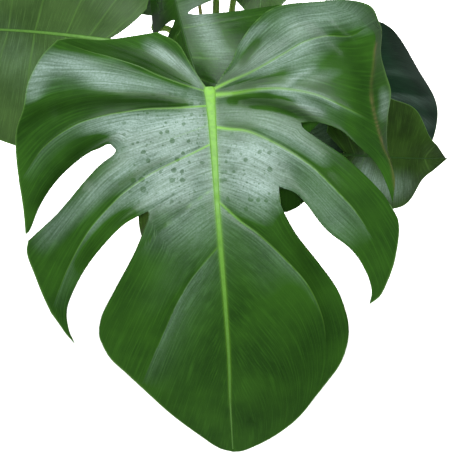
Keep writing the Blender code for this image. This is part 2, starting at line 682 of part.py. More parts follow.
def leaf_columns(spec):
    """Where the grid lines of a leaf start: at every slit, with even steps between."""
    stops = sorted({0.0, 1.0} | {s[0] for s in spec["slits"]})
    around = 1.15 * spec["length"] + 0.3 * spec["width"]
    columns = [0.0]
    for low, high in zip(stops, stops[1:]):
        steps = max(2, round((high - low) * around / BLADE_STEP))
        columns += list(np.linspace(low, high, steps + 1)[1:])
    return np.array(columns)


def make_leaf_blade(name, spec, finish, group):
    """One of the other blades."""
    columns = leaf_columns(spec)
    left, left_weights = leaf_half(spec, "L", columns)
    right, right_weights = leaf_half(spec, "R", columns)
    face = leaf_frame(spec)[2]
    return blade_solid(f"{name}_blade", left + right, left_weights + right_weights, face, finish, group)


def root_path(bearing, height, reach, radius):
    """An aerial root: out from the stem, then down into the soil."""
    seat, out = seat_on_stem(height, bearing, ROOT_RISE)
    flat = unit((out[0], out[1], 0))
    foot = stem_at(height) * (1, 1, 0) + flat * reach
    middle = foot + np.array([0, 0, (height + SOIL_LEVEL) / 2 + ROOT_BOW])
    low = foot + flat * ROOT_BOW + np.array([0, 0, SOIL_LEVEL - ROOT_DEPTH])
    share = np.linspace(0, 1, ROOT_POINTS)
    return spline([seat, seat + out * ROOT_LEAD, middle, low], share), radius * (1 - ROOT_TAPER * share)


def main():
    """Build the whole plant."""
    clear_scene()
    plant = collection("potted_swiss_cheese_plant")
    cutters = collection("cutters")
    clay = material("fired_clay", (0.42, 0.17, 0.09), 0.85)
    soil = material("potting_soil", (0.035, 0.022, 0.014), 0.95)
    bark = material("stem_skin", (0.13, 0.16, 0.05), 0.6)
    root = material("root_skin", (0.18, 0.11, 0.05), 0.8)
    stalk = material("petiole_skin", (0.14, 0.24, 0.05), 0.45)
    green = material("leaf_green", (0.035, 0.12, 0.02), 0.3)
    young = material("young_leaf_green", (0.16, 0.30, 0.05), 0.4)

    points, radii = stem_path()
    tube("stem", points, radii, bark, plant, STEM_ROUNDNESS)
    skin = as_mesh(tube("stem_skin_cutter", points, radii + GAP, None, cutters, STEM_ROUNDNESS), cutters)
    stems = [("stem", points, np.full(len(radii), radii.max()), STEM_ROUNDNESS)]
    for k, (bearing, height, reach, radius) in enumerate(ROOTS, 1):
        points, radii = root_path(bearing, height, reach, radius)
        fitted_stalk(f"aerial_root_{k}", (points, radii), root, plant, skin, 1)
        stems.append((f"aerial_root_{k}", points[-5:], radii[-5:], 1))
    make_pot(clay, plant, cutters)
    make_soil(soil, plant, stems, cutters)

    make_front_blade(green, plant)
    seat = midrib_at(np.array([PETIOLE_PIXEL]))
    under_notch = on_sight_line(seat, front_depth(seat) + PETIOLE_SEAT)[0]
    fitted_stalk("front_petiole", petiole_path("front", under_notch, -view_axes()[2]), stalk, plant, skin)
    for name, spec in LEAVES.items():
        make_leaf_blade(name, spec, green, plant)
        _, tip, face = leaf_frame(spec)
        attach = np.array(spec["attach"]) + tip * ATTACH_INSET
        fitted_stalk(f"{name}_petiole", petiole_path(name, attach, face), stalk, plant, skin)
    shares = np.linspace(0, 1, ROLLED_POINTS)
    radii = np.interp(shares, np.linspace(0, 1, len(ROLLED_RADII)), ROLLED_RADII)
    tube("rolled_leaf", spline(ROLLED_PATH, shares), radii, young, plant)


main()
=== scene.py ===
"""The looks of a young potted swiss cheese plant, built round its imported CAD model.

Metres, +Z up. The origin is the middle of the pot's base. +X is to the viewer's right and -Y is
towards the viewer, who looks down on the plant from VIEW_ELEVATION.
"""

import math
from itertools import combinations

import bpy
import numpy as np
from mathutils import Matrix


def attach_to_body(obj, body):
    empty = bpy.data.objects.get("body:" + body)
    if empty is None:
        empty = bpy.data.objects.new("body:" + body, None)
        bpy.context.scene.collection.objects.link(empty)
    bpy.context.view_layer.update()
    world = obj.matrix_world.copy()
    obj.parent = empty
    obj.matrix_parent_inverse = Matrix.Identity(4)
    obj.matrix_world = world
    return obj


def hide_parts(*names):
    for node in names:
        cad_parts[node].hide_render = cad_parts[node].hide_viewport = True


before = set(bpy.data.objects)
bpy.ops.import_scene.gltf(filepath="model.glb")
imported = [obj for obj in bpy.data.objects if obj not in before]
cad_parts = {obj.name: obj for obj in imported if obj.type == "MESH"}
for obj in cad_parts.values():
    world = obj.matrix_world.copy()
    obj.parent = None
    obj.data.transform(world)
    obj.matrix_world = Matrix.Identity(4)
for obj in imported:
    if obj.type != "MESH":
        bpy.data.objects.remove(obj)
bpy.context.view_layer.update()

bl_info = {
    "name": "Potted swiss cheese plant",
    "version": (1, 0, 0),
    "blender": (4, 5, 0),
    "location": "3D View > Sidebar > Plant",
    "description": "Builds a young monstera in its pot, leaf by leaf, and its studio",
    "category": "Object",
}

# The eye of a viewer. The front leaf is drawn on a plane across its line of sight, in pixels of a
# picture 460 wide.
VIEW_ELEVATION = math.radians(48)
EYE_DISTANCE = 0.900
FRONT_ATTACH = (0.004, -0.216, 0.470)
FRONT_LEAF_WIDTH = 0.302
FRONT_WIDTH_IN_PIXELS = 382
PIXEL = FRONT_LEAF_WIDTH / FRONT_WIDTH_IN_PIXELS
ATTACH_PIXEL = (210, 92)
CENTRE_PIXEL = (230, 230)
PICTURE_PIXELS = 460
SENSOR = 36.0

# The studio: the floor's reach and the colours of its light.
FLOOR_REACH = 3.0
KEY_TINT = (0.90, 0.96, 1.0)
AIR_TINT = (0.94, 0.97, 1.0, 1.0)
# The soft boxes: where each stands, what it points at and its size. The second lights the floor alone,
# from both sides.
KEY_BOX = ((0.0, -0.60, 1.60), (0.0, -0.30, 0.40), (1.4, 1.05))
FLOOR_BOX = ((0.95, 1.0, 0.95), (0.1, 0.12, 0.0), (0.6, 0.6))

# The pot and its soil.
POT_HEIGHT = 0.150
POT_RIM_RADIUS = 0.080
POT_BASE_RADIUS = 0.056
POT_WALL = 0.006
RIM_BAND_HEIGHT = 0.026
RIM_BAND_STEP = 0.004
SOIL_LEVEL = 0.130
SOIL_MOUND = 0.006
LIP_ROUND = 0.0025
FOOT_ROUND = 0.0022
# The thrower's marks: their depth as a share of the radius, their spacing, and how that drifts.
TURNING_MARKS = (0.0016, 0.0021, 0.009)
DRAIN_HOLES = 3
DRAIN_HOLE_RADIUS = 0.005
DRAIN_HOLE_CIRCLE = 0.026
# Lumps of the soil: their height and their length.
SOIL_LUMPS = [(0.0011, 0.022), (0.0006, 0.008), (0.0003, 0.003)]
# Loose crumbs: how many, their least and greatest size, how flat they are, and the seed of the draw.
CRUMBS = [("soil_crumbs", 1300, 0.0006, 0.0022, 0.7, 11), ("bark_chips", 90, 0.0022, 0.0055, 0.22, 12)]

# The stem.
STEM_RADIUS = 0.0105
STEM_FOOT = (0.002, 0.004, 0.085)
STEM_TOP = (0.000, 0.000, 0.245)
STEM_NODE_SPACING = 0.018
STEM_NODE_SWELL = 0.0012
STEM_TAPER = 0.12
STEM_DOME = 0.006
STEM_RING = 0.0004
STEM_RIBS = 9
STEM_RIB_SHARE = 0.012
STEM_RIB_TWIST = 87.5
FLAT_AXES = (np.array([[1.0, 0, 0]]), np.array([[0, 1.0, 0]]))

# The front leaf: its midrib, then its ribs. A rib is the height on the midrib where it starts, its
# kind, its path to the margin or to the inner end of a slit, and the slit's two edges.
MIDRIB = [(209, 88), (210, 95), (212, 120), (214, 150), (217, 200), (220, 240), (225, 300), (229, 360),
          (230, 400)]
FRONT_TIP = (233, 452)
TIP_RIB = (None, "tip", [FRONT_TIP], [], [])
FRONT_LEFT_RIBS = [
    (88, "edge", [(205, 86), (193, 68), (186, 56), (180, 46), (172, 39), (157, 32)], [], []),
    (91, "vein", [(202, 90), (171, 80), (138, 66), (110, 57), (88, 51), (57, 40)], [], []),
    (106, "vein", [(176, 108), (147, 109), (125, 112), (103, 116), (73, 126), (44, 147),
                   (19, 182)], [], []),
    (127, "slit", [(180, 131), (148, 140), (116, 150)],
     [(110, 144), (99, 147), (78, 160), (56, 181), (40, 205), (30, 229), (25.5, 234)],
     [(113, 155), (100, 165), (84, 182), (70, 199), (55, 216), (40, 230), (28, 241)]),
    (147, "vein", [(193, 153), (156, 171), (130, 188), (112, 204), (88, 232), (68, 268),
                   (51, 313)], [], []),
    (180, "slit", [(190, 188), (170, 198), (148, 211)],
     [(138, 216), (123, 225), (106, 242), (89, 263), (76, 285), (67, 308), (68, 328), (74, 343)],
     [(149, 217), (144, 230), (134, 254), (117, 286), (103, 313), (99, 328)]),
    (240, "vein", [(205, 262), (191, 280), (180, 298), (171, 316), (157, 348), (141, 387)], [], []),
]
FRONT_RIGHT_RIBS = [
    (88, "edge", [(215, 86), (223, 74), (232, 61), (237, 48), (244, 36), (254, 23), (269, 10), (288, 4),
                  (325, 1)], [], []),
    (91, "vein", [(228, 82), (253, 71), (283, 54), (304, 42), (326, 36), (350, 34), (368, 27)], [], []),
    (97, "vein", [(235, 92), (260, 88), (286, 89), (317, 95), (346, 108), (376, 123)], [], []),
    (112, "slit", [(240, 111), (272, 114), (301, 123)],
     [(316, 122), (339, 129), (359, 146), (377, 164), (387, 184), (393, 202)],
     [(304, 129), (321, 141), (342, 155), (365, 175), (384, 195), (392, 208)]),
    (127, "vein", [(228, 129), (250, 132), (282, 147), (311, 166), (335, 189), (356, 212), (373, 239),
                   (390, 276)], [], []),
    (165, "slit", [(240, 168), (261, 176), (279, 187)],
     [(294, 192), (305, 202), (326, 229), (352, 250), (366, 271), (372, 290), (370, 304)],
     [(279, 193), (281, 206), (296, 234), (317, 261), (337, 289), (347, 316), (349, 332)]),
    (206, "vein", [(226, 213), (258, 234), (285, 259), (309, 287), (323, 320), (327, 355),
                   (320, 391)], [], []),
]
FRONT_LEFT_MARGIN = [
    [(126, 37), (100, 40), (73, 38)],
    [(41, 57), (28, 83), (23, 109), (16, 131), (16, 155)],
    [(22, 200), (24, 216)],
    [(27, 254), (35, 276), (43, 296)],
    [(59, 324), (66, 334)],
    [(100, 339), (110, 358), (126, 373)],
    [(172, 415), (202, 437), (219, 448)],
]
FRONT_RIGHT_MARGIN = [
    [(336, 5), (353, 13)],
    [(375, 36), (374, 65), (371, 89), (373, 111)],
    [(383, 145), (391, 163), (395, 180)],
    [(398, 219), (399, 235), (395, 260)],
    [(381, 295)],
    [(347, 346), (339, 366)],
    [(298, 418), (273, 437), (246, 450)],
]
# Edges that are turned down and back at the inner ends of three slits: the rib, which edge of its slit,
# how much of that edge, the line it is turned to, the painted light on it, here all below zero and so
# painted shade, and how brown it is.
TURNED_EDGES = [
    ("front_lip", FRONT_RIGHT_RIBS[5], 1, 0.15,
     [(279, 187), (276, 193), (277, 205), (284, 212), (296, 208), (304, 202)], -1.0, 0.0),
    ("front_tuck", FRONT_RIGHT_RIBS[3], 1, 0.14,
     [(301, 123), (302, 129), (305, 132.5), (310, 132)], -0.3, 0.0),
    ("front_flap", FRONT_LEFT_RIBS[5], 2, 0.22,
     [(139, 211), (138.5, 220), (140, 231), (142, 238)], -0.5, 0.1),
]
TURN_DEPTH = 0.006
TURN_THICKNESS = 0.0006
# The strip beyond the fold of the upper right lobe.
FRONT_FOLD_EDGE = [
    [(326, 0), (350, 0), (371, 6), (379, 21)],
    [(379, 21), (382, 32), (381, 54), (386, 74), (391, 92), (388, 115)],
    [(388, 115), (387, 132), (388, 150), (393, 170), (393, 202)],
]
FOLD_DEPTH = 0.016
FOLD_ROLL = 0.0030
FOLD_ROWS = 12
FOLD_WIDTH_MM = 8
FRONT_HALVES = [
    ("left", FRONT_LEFT_RIBS, FRONT_LEFT_MARGIN, [], True),
    ("right", FRONT_RIGHT_RIBS, FRONT_RIGHT_MARGIN, FRONT_FOLD_EDGE, False),
]
# The ridge of that fold has a thin brown line.
FRONT_RUST = [(376, 44), (374, 65), (371, 89), (374, 112), (383, 145), (391, 163), (396, 194)]

# The front leaf's form: it falls back from its crest to its notch, its tip and its sides, and lies in
# a valley along the midrib.
CREST = 0.105
NOTCH_FALL = 0.016
TIP_REACH = 0.178
TIP_FALL = 0.062
SIDE_REACH = 0.150
SIDE_FALL = 0.030
VALLEY_REACH = 0.020
VALLEY_DEPTH = 0.0065
# How far behind the surface the ribs lie: veins in troughs, slits on crests.
RELIEF = {"edge": 0.0, "vein": 0.0022, "slit": -0.0022, "tip": 0.0}
PANEL_BULGE = 0.0012
QUILT_SPACING = 0.022
# A blade's grid has rows close together near the midrib and near the margin, and slits open from
# INNER_SHARE of the way out. Half of the front leaf is taken as this wide for its pattern and its rim.
FRONT_ROWS = (26, 40)
INNER_SHARE = 4 / 9
VEIN_SHARE = 0.28
HALF_WIDTH = 0.15
HALF_WIDTH_MM = 120
MARGIN_MM = 0.9
RIM_ROUNDING = 0.4
WELD_DISTANCE = 2e-5
# What a blade's points carry for its skin.
MARKS = ("vein", "margin", "wet", "rust", "film")

# Swells and creases of the front leaf: a line, its reach in pixels, and metres behind the surface.
FRONT_SWELLS = [
    ([(40, 98), (65, 93), (95, 90), (130, 92), (170, 96), (198, 103)], 9.0, -0.0018),
    ([(60, 112), (95, 106), (130, 104), (165, 103)], 8.0, 0.0010),
    ([(188, 66), (176, 54), (160, 44)], 9.0, -0.0012),
    ([(116, 150), (104, 162), (90, 180)], 9.0, 0.0010),
    ([(330, 24), (342, 34), (352, 42)], 5.0, 0.0009),
    ([(316, 26), (330, 36), (344, 50)], 6.0, -0.0008),
    ([(300, 20), (318, 14), (334, 16)], 10.0, -0.0014),
    ([(284, 88), (299, 76), (314, 68)], 4.0, -0.0008),
    ([(240, 99), (270, 98), (300, 101), (330, 110), (350, 122)], 5.0, -0.0016),
    ([(252, 103), (272, 106), (290, 111), (303, 116)], 5.0, 0.0014),
    ([(262, 126), (292, 138), (322, 160)], 7.0, -0.0012),
]
# Visible veins of the front leaf: how bright, its width in millimetres at the midrib, and its line.
FRONT_VEINS = [
    (0.50, 0.7, [(205, 91), (188, 86), (171, 80), (155, 74), (138, 66), (110, 57), (88, 51), (57, 40)]),
    (0.80, 0.9, [(205, 106), (176, 108), (147, 109), (125, 112), (103, 116), (73, 126), (44, 147),
                 (22, 178)]),
    (0.30, 0.5, [(209, 125), (178, 136), (149, 145), (118, 149)]),
    (0.80, 0.9, [(211, 144), (193, 153), (156, 171), (130, 188), (112, 204), (88, 232), (68, 268),
                 (52, 308)]),
    (0.35, 0.6, [(214, 188), (193, 203), (181, 213), (160, 230), (140, 250)]),
    (0.26, 0.8, [(218, 247), (205, 262), (191, 280), (180, 298), (171, 316), (157, 348), (142, 384)]),
    (0.90, 1.4, [(214, 89), (228, 82), (253, 71), (283, 54), (304, 42), (326, 36), (350, 36), (368, 27)]),
    (1.00, 2.1, [(213, 95), (235, 93), (262, 89), (286, 89), (317, 95), (346, 108), (373, 121)]),
    (0.95, 1.4, [(214, 127), (228, 129), (250, 132), (282, 147), (311, 166), (335, 189), (356, 212),
                 (373, 239)]),
    (0.70, 0.9, [(220, 203), (240, 221), (258, 234), (285, 259), (309, 287), (323, 320), (326, 350)]),
]
# The dip that a vein lies in is this many times as wide as the vein.
DIP_WIDTH = 3.5
# Reach in pixels of the yellow-green tissue beside the front leaf's midrib.
MIDRIB_GLOW = 4.6
# Width of the front leaf's midrib, in pixels, at heights in pixels.
MIDRIB_WIDTH = [(86.5, 8), (88, 12), (91, 13), (96, 11.5), (120, 8.8), (150, 7.4), (200, 5.3), (250, 4.2),
                (300, 3.0), (350, 2.2), (440, 1.2)]
# Where dried drops show on the front leaf, and the reach of these patches. Then the drops: how far
# apart they are, and their least and greatest size as shares of that.
WET_SPOTS = [((165, 152), (56, 62)), ((250, 178), (36, 42))]
DROPS = [(0.0078, -0.12, 0.38), (0.0032, -0.14, 0.26)]

# Painted light on a leaf, placed as seen in the picture: above zero a pale painted sheen, below zero
# painted shade that darkens the green. A mark is its strength, its reach in pixels, and its line.
FRONT_PAINTED_LIGHT = [
    (0.10, 34, [(60, 78), (120, 92), (180, 110), (250, 110), (320, 92)]),
    (0.14, 34, [(120, 150), (170, 165), (215, 165), (265, 160), (310, 150)]),
    (0.70, 7, [(150, 47), (165, 57), (180, 69), (197, 83)]),
    (0.35, 8, [(31, 100), (36, 86), (44, 76)]),
    (0.75, 11, [(32, 86), (40, 70), (58, 64), (78, 66), (100, 78), (122, 84)]),
    (0.55, 9, [(105, 80), (135, 86), (170, 93), (200, 101)]),
    (0.92, 14, [(98, 131), (122, 126), (150, 124), (185, 122), (204, 123)]),
    (0.75, 16, [(124, 146), (160, 150), (203, 140)]),
    (0.70, 16, [(132, 172), (165, 172), (205, 166)]),
    (0.68, 13, [(132, 196), (158, 196), (180, 192), (210, 186)]),
    (0.22, 20, [(172, 222), (192, 216), (212, 206)]),
    (0.18, 22, [(158, 232), (182, 230), (212, 226)]),
    (0.06, 26, [(170, 296), (190, 272), (214, 258)]),
    (0.05, 16, [(236, 240), (256, 258), (272, 284)]),
    (-0.22, 34, [(322, 300), (312, 350), (280, 400), (250, 430)]),
    (0.50, 9, [(88, 200), (106, 184), (128, 166)]),
    (0.35, 10, [(44, 240), (62, 222), (86, 202)]),
    (0.30, 10, [(92, 236), (108, 218), (128, 200)]),
    (0.45, 5, [(242, 48), (252, 34), (266, 25)]),
    (0.42, 20, [(250, 66), (285, 46), (315, 30)]),
    (0.35, 12, [(278, 22), (300, 19), (322, 16)]),
    (0.34, 15, [(318, 8), (340, 12), (362, 22)]),
    (0.50, 5, [(288, 85), (299, 75), (313, 68)]),
    (0.25, 6, [(306, 80), (325, 75), (346, 71)]),
    (0.60, 3.2, [(258, 88), (285, 87), (306, 91), (326, 98), (337, 106)]),
    (0.60, 6, [(276, 94), (294, 98), (306, 105), (320, 112)]),
    (0.28, 8, [(222, 112), (250, 117), (280, 122), (300, 132)]),
    (0.50, 8, [(262, 129), (285, 137), (305, 148), (322, 162)]),
    (0.85, 15, [(226, 150), (250, 154), (278, 163)]),
    (0.92, 15, [(230, 176), (250, 184), (274, 188)]),
    (0.30, 16, [(234, 202), (256, 208), (272, 212)]),
    (0.25, 14, [(300, 186), (322, 206), (344, 232)]),
    (0.50, 6, [(383, 92), (385, 104), (383, 116)]),
    (-0.75, 9, [(20, 130), (36, 114), (70, 105), (100, 102), (150, 102), (180, 104)]),
    (-0.60, 8, [(64, 42), (92, 46), (118, 50), (140, 60), (166, 72), (186, 82)]),
    (-0.75, 8, [(36, 206), (56, 180), (76, 156), (92, 143), (106, 138)]),
    (-0.45, 7, [(82, 262), (104, 230), (130, 211)]),
    (-0.25, 4, [(120, 184), (140, 172), (168, 158)]),
    (-0.85, 5, [(246, 102), (268, 104), (288, 109), (304, 116), (330, 134), (352, 152)]),
    (-0.50, 5, [(232, 101), (262, 98), (292, 101)]),
    (-0.40, 10, [(285, 222), (300, 250), (318, 282)]),
    (0.30, 14, [(258, 68), (288, 60), (320, 44)]),
    (-0.35, 5, [(243, 62), (249, 52), (258, 42)]),
    (-0.35, 5, [(240, 86), (258, 81), (274, 77), (286, 70)]),
    (-0.16, 22, [(334, 62), (346, 70), (358, 88), (366, 114)]),
    (-0.14, 16, [(356, 40), (364, 54), (368, 72)]),
]
# Beside a vein, by its place in FRONT_VEINS: the painted sheen's strength and reach in pixels below it,
# and the painted shadow's above it.
FRONT_FLANKS = [
    (0, 0.15, 8, 0.25, 5),
    (1, 0.25, 7, 0.45, 6),
    (3, 0.20, 8, 0.30, 5),
    (4, 0.10, 6, 0.15, 5),
    (5, 0.20, 12, 0.10, 6),
    (6, 0.15, 8, 0.25, 6),
    (7, 0.30, 5, 0.30, 5),
    (8, 0.35, 7, 0.45, 7),
    (9, 0.28, 7, 0.50, 6),
]
# The same painted sheen and painted shade on the other leaves, leaf by leaf.
LEAF_PAINTED_LIGHT = {
    "upper_left": [
        (0.10, 24, [(6, 40), (14, 56), (24, 70)]),
        (-0.22, 24, [(50, 8), (90, 14), (126, 10)]),
    ],
    "notch": [
        (0.40, 9, [(197, 10), (206, 28), (215, 44), (224, 58)]),
        (0.20, 20, [(190, 20), (206, 34), (222, 46)]),
        (-0.85, 10, [(192, 64), (200, 76), (207, 90)]),
        (-0.45, 13, [(232, 22), (242, 34), (254, 18)]),
        (-0.90, 16, [(150, 15), (162, 28), (172, 42)]),
    ],
    "back_left": [(0.15, 16, [(150, 2), (160, 10)])],
    "right": [
        (0.06, 6, [(382, 72), (400, 74), (420, 82)]),
        (0.12, 8, [(385, 98), (405, 96), (430, 102)]),
        (0.12, 6, [(388, 119), (410, 120), (434, 125)]),
        (0.08, 6, [(402, 137), (418, 138), (432, 143)]),
        (0.45, 13, [(302, 126), (314, 136), (326, 148)]),
        (-0.30, 6, [(384, 84), (404, 86), (424, 90)]),
    ],
    "small": [
        (0.60, 9, [(362, 164), (366, 178), (372, 192)]),
        (0.46, 12, [(366, 180), (384, 188), (402, 186)]),
        (-0.16, 13, [(386, 142), (410, 146), (440, 152)]),
    ],
}

# Outlines of the other leaves, from the top of a basal lobe to the tip, in parts of the width and of
# the length.
HEART = [(0.15, 0.19), (0.30, 0.175), (0.43, 0.08), (0.50, -0.12), (0.47, -0.36), (0.36, -0.60),
         (0.20, -0.80), (0.06, -0.93), (0.0, -1.0)]
DRIP_TIPPED = [(0.15, 0.19), (0.30, 0.17), (0.41, 0.08), (0.51, -0.08), (0.43, -0.34), (0.36, -0.58),
               (0.17, -0.72), (0.09, -0.85), (0.0, -1.0)]
MIDRIB_SHARE = 0.86
MIDRIB_POWER = 1.25
SLIT_POWER = 0.5


def leaf(skin, attach, tip, face, length, width, bend, curl, **form):
    """One of the other leaves: its skin, where it hangs, which way its tip and its upper face point, its
    size, and how many degrees it bends along and curls across. A slit is its share of the way round,
    where it starts on the way out, half its width, and the halves that have it."""
    plain = dict(fold=0.0, wave=0.004, slits=(), lobe=1.0, outline=HEART)
    return dict(plain, skin=skin, attach=attach, tip=tip, face=face, length=length, width=width, bend=bend,
                curl=curl, **form)


LEAVES = {
    "upper_left": leaf("matte", (-0.092, -0.082, 0.415), (-0.97, 0.24, -0.02), (0.00, -0.60, 0.80),
                       0.265, 0.222, 45, 25, lobe=0.62),
    "notch": leaf("clean", (-0.005, -0.151, 0.411), (-0.306, 0.786, 0.537), (-0.515, -0.653, 0.555),
                  0.229, 0.174, 20, 30, fold=-33,
                  slits=((0.463, 0.105, 0.046, "LR"), (0.68, 0.35, 0.035, "LR"))),
    "back_left": leaf("grey", (-0.040, 0.018, 0.369), (-0.65, 0.74, 0.15), (0.55, 0.35, 0.76),
                      0.190, 0.120, 35, 20, lobe=0.5,
                      slits=((0.34, 0.25, 0.060, "LR"), (0.58, 0.35, 0.035, "LR"))),
    "right": leaf("dark", (0.143, -0.009, 0.355), (0.151, -0.979, -0.140), (0.469, -0.636, 0.612),
                  0.186, 0.211, 30, 25),
    "small": leaf("olive", (0.122, -0.185, 0.371), (0.986, 0.052, -0.160), (0.122, -0.803, 0.584),
                  0.110, 0.123, 37, 32, wave=0.003, outline=DRIP_TIPPED),
    "top": leaf("matte", (0.060, 0.068, 0.500), (-0.08, -0.95, -0.30), (0.05, -0.30, 0.95),
                0.160, 0.142, 35, 20, slits=((0.50, 0.40, 0.035, "L"),)),
    "back": leaf("clean", (0.030, 0.110, 0.400), (0.30, 0.88, -0.30), (0.10, 0.35, 0.93),
                 0.230, 0.200, 45, 25, slits=((0.36, 0.35, 0.045, "LR"), (0.60, 0.40, 0.035, "LR"))),
}
# The skins: the slot, the darker and the lighter green, the veins, how rough the wax is and how much
# there is of it, and how strongly dried drops show.
SKINS = {
    "glossy": ("glossy_leaf", "leaf_deep", "leaf_light", "vein_green", 0.30, 0.45, 0.9),
    "clean": ("glossy_leaf", "leaf_deep", "leaf_light", "vein_green", 0.30, 0.40, 0.0),
    "matte": ("matte_leaf", "matte_deep", "matte_light", "vein_green", 0.46, 0.30, 0.0),
    "grey": ("grey_leaf", "grey_deep", "matte_light", "vein_green", 0.50, 0.05, 0.0),
    # The dark skin's greens are the leaf green darkened: painted shade.
    "dark": ("dark_leaf", "dark_deep", "dark_light", "dark_light", 0.36, 0.20, 0.0),
    # The olive skin's greens are painted shade with the yellow of painted light shining through the leaf
    # from behind.
    "olive": ("olive_leaf", "olive_deep", "olive_light", "vein_green", 0.32, 0.50, 0.0),
}
DULL_MIDRIBS = ("notch", "right", "small", "back_left")
# Where lateral veins start, in shares of the way round the leaf.
LEAF_VEINS = (0.03, 0.13, 0.25, 0.40, 0.53, 0.64, 0.76, 0.87)

# Petioles: height on the stem and bearing where each grows, the middle of its path, and its radii.
PETIOLES = {
    "front": (0.226, -92, [(0.003, -0.085, 0.265), (0.004, -0.150, 0.370)], 0.0050, 0.0038),
    "upper_left": (0.205, 195, [(-0.045, -0.014, 0.270), (-0.085, -0.050, 0.350)], 0.0048, 0.0032),
    "notch": (0.195, -75, [(0.020, -0.062, 0.232), (0.024, -0.112, 0.330)], 0.0042, 0.0030),
    "back_left": (0.222, 150, [(-0.022, 0.020, 0.290), (-0.040, 0.032, 0.335)], 0.0042, 0.0028),
    "right": (0.200, -5, [(0.058, 0.000, 0.250), (0.112, 0.018, 0.314)], 0.0045, 0.0030),
    "small": (0.180, -35, [(0.047, -0.085, 0.225), (0.092, -0.175, 0.305)], 0.0036, 0.0022),
    "top": (0.236, 60, [(0.010, 0.016, 0.310), (0.006, 0.018, 0.371), (0.014, 0.045, 0.440)],
            0.0042, 0.0028),
    "back": (0.212, 100, [(0.012, 0.070, 0.255), (0.026, 0.108, 0.340)], 0.0044, 0.0030),
}
PETIOLE_RISE = math.radians(25)
PETIOLE_PIXEL = 99
# A petiole ends a little way along its blade and below it, and starts this far inside the stem.
PETIOLE_REACH = 0.006
PETIOLE_BELOW_BLADE = 0.0022
SEAT_DEPTH = 0.003
# Its straight lengths at the stem, at the knee below the blade and at its end. Then the swell of its
# knee and of the sheath at the stem, and the depth of its channel, as shares of its radius.
COLLAR = 0.011
KNEE = 0.020
STRAIGHT_END = 0.0085
KNEE_SWELL = 0.28
SHEATH_SWELL = 0.22
CHANNEL_DEPTH = 0.30
ROLLED_PATH = [(-0.001, 0.004, 0.2455), (-0.006, 0.014, 0.320), (-0.010, 0.021, 0.373),
               (-0.021, 0.034, 0.470), (-0.028, 0.042, 0.540), (-0.031, 0.045, 0.605)]
ROLLED_RADII = [0.0022, 0.0019, 0.0017, 0.0024, 0.0048, 0.0006]
# Aerial roots: bearing, height on the stem, how far out they enter the soil, and radius.
ROOTS = [(-150, 0.168, 0.034, 0.0016), (20, 0.158, 0.030, 0.0018), (80, 0.174, 0.040, 0.0014)]
ROOT_DEPTH = 0.020
ROOT_COLLAR = 0.009
ROOT_BOW = 0.004
ROOT_RISE = math.radians(-20)


def linear(code):
    """An sRGB hex colour as linear red, green and blue."""
    parts = np.array([int(code[i:i + 2], 16) for i in (1, 3, 5)]) / 255
    return tuple(np.where(parts <= 0.04045, parts / 12.92, ((parts + 0.055) / 1.055) ** 2.4).tolist())


def unit(v):
    """The vectors v at length one."""
    v = np.asarray(v, float)
    return v / np.maximum(np.linalg.norm(v, axis=-1, keepdims=True), 1e-12)


def smooth(x, low, high):
    """0 below low, 1 above high, and 3s^2 - 2s^3 between them."""
    s = np.clip((x - low) / (high - low), 0, 1)
    return s * s * (3 - 2 * s)


def run_along(points):
    """How far along a line of points each one lies."""
    return np.concatenate([[0], np.cumsum(np.linalg.norm(np.diff(points, axis=0), axis=1))])


def spline(points, shares):
    """A Catmull-Rom curve through the points, read at these shares of its length."""
    p = np.asarray(points, float)
    p = np.vstack([2 * p[0] - p[1], p, 2 * p[-1] - p[-2]])
    t = np.linspace(0, 1, 24, endpoint=False)[:, None]
    parts = [(2 * b + (c - a) * t + (2 * a - 5 * b + 4 * c - d) * t**2 + (3 * b - a - 3 * c + d) * t**3) / 2
             for a, b, c, d in zip(p[:-3], p[1:-2], p[2:-1], p[3:])]
    fine = np.vstack([*parts, p[-2]])
    run = run_along(fine)
    at = np.asarray(shares) * run[-1]
    return np.stack([np.interp(at, run, fine[:, k]) for k in range(fine.shape[1])], axis=-1)


def around(count):
    """count angles, evenly spaced round a circle."""
    return np.linspace(0, math.tau, count, endpoint=False)


def crowded(count, crowd):
    """count + 1 shares from 0 to 1 that crowd at both ends: s - crowd sin(2 pi s) / 2 pi."""
    s = np.linspace(0, 1, count + 1)
    return s - crowd * np.sin(math.tau * s) / math.tau


def coons(q, t, bottom, top, side_a, side_b):
    """A grid between four curves: both ruled surfaces added, less the one through the corners."""
    q = q[:, None, None]
    t = t[None, :, None]
    ruled = (1 - t) * bottom[:, None] + t * top[:, None] + (1 - q) * side_a[None] + q * side_b[None]
    corners = (1 - q) * ((1 - t) * bottom[0] + t * top[0]) + q * ((1 - t) * bottom[-1] + t * top[-1])
    return ruled - corners


def lumps(points, size, seed):
    """Soft noise of about -1 to 1: six sine waves of random directions, size metres long, summed."""
    rng = np.random.default_rng(seed)
    ways = unit(rng.normal(size=(6, points.shape[-1]))) * rng.uniform(0.7, 1.5, (6, 1)) * math.tau / size
    return np.sin(points @ ways.T + rng.uniform(0, math.tau, 6)).sum(-1) / 3


def nearest(points, line, count):
    """Where points lie beside a line, by the nearest of count points on it: the distance to that one,
    its share of the line, how far to the line's side, and how far beyond its neighbours."""
    at = spline(line, np.linspace(0, 1, count))
    gap = points[..., None, :] - at
    far = np.linalg.norm(gap, axis=-1)
    near = far.argmin(-1)
    gap = np.take_along_axis(gap, near[..., None, None], axis=-2)[..., 0, :]
    way = unit(np.gradient(at, axis=0))[near]
    aside = way[..., 0] * gap[..., 1] - way[..., 1] * gap[..., 0]
    past = np.maximum(np.abs((gap * way).sum(-1)) - np.linalg.norm(at[1] - at[0]), 0)
    return far.min(-1), near / (count - 1), aside, past


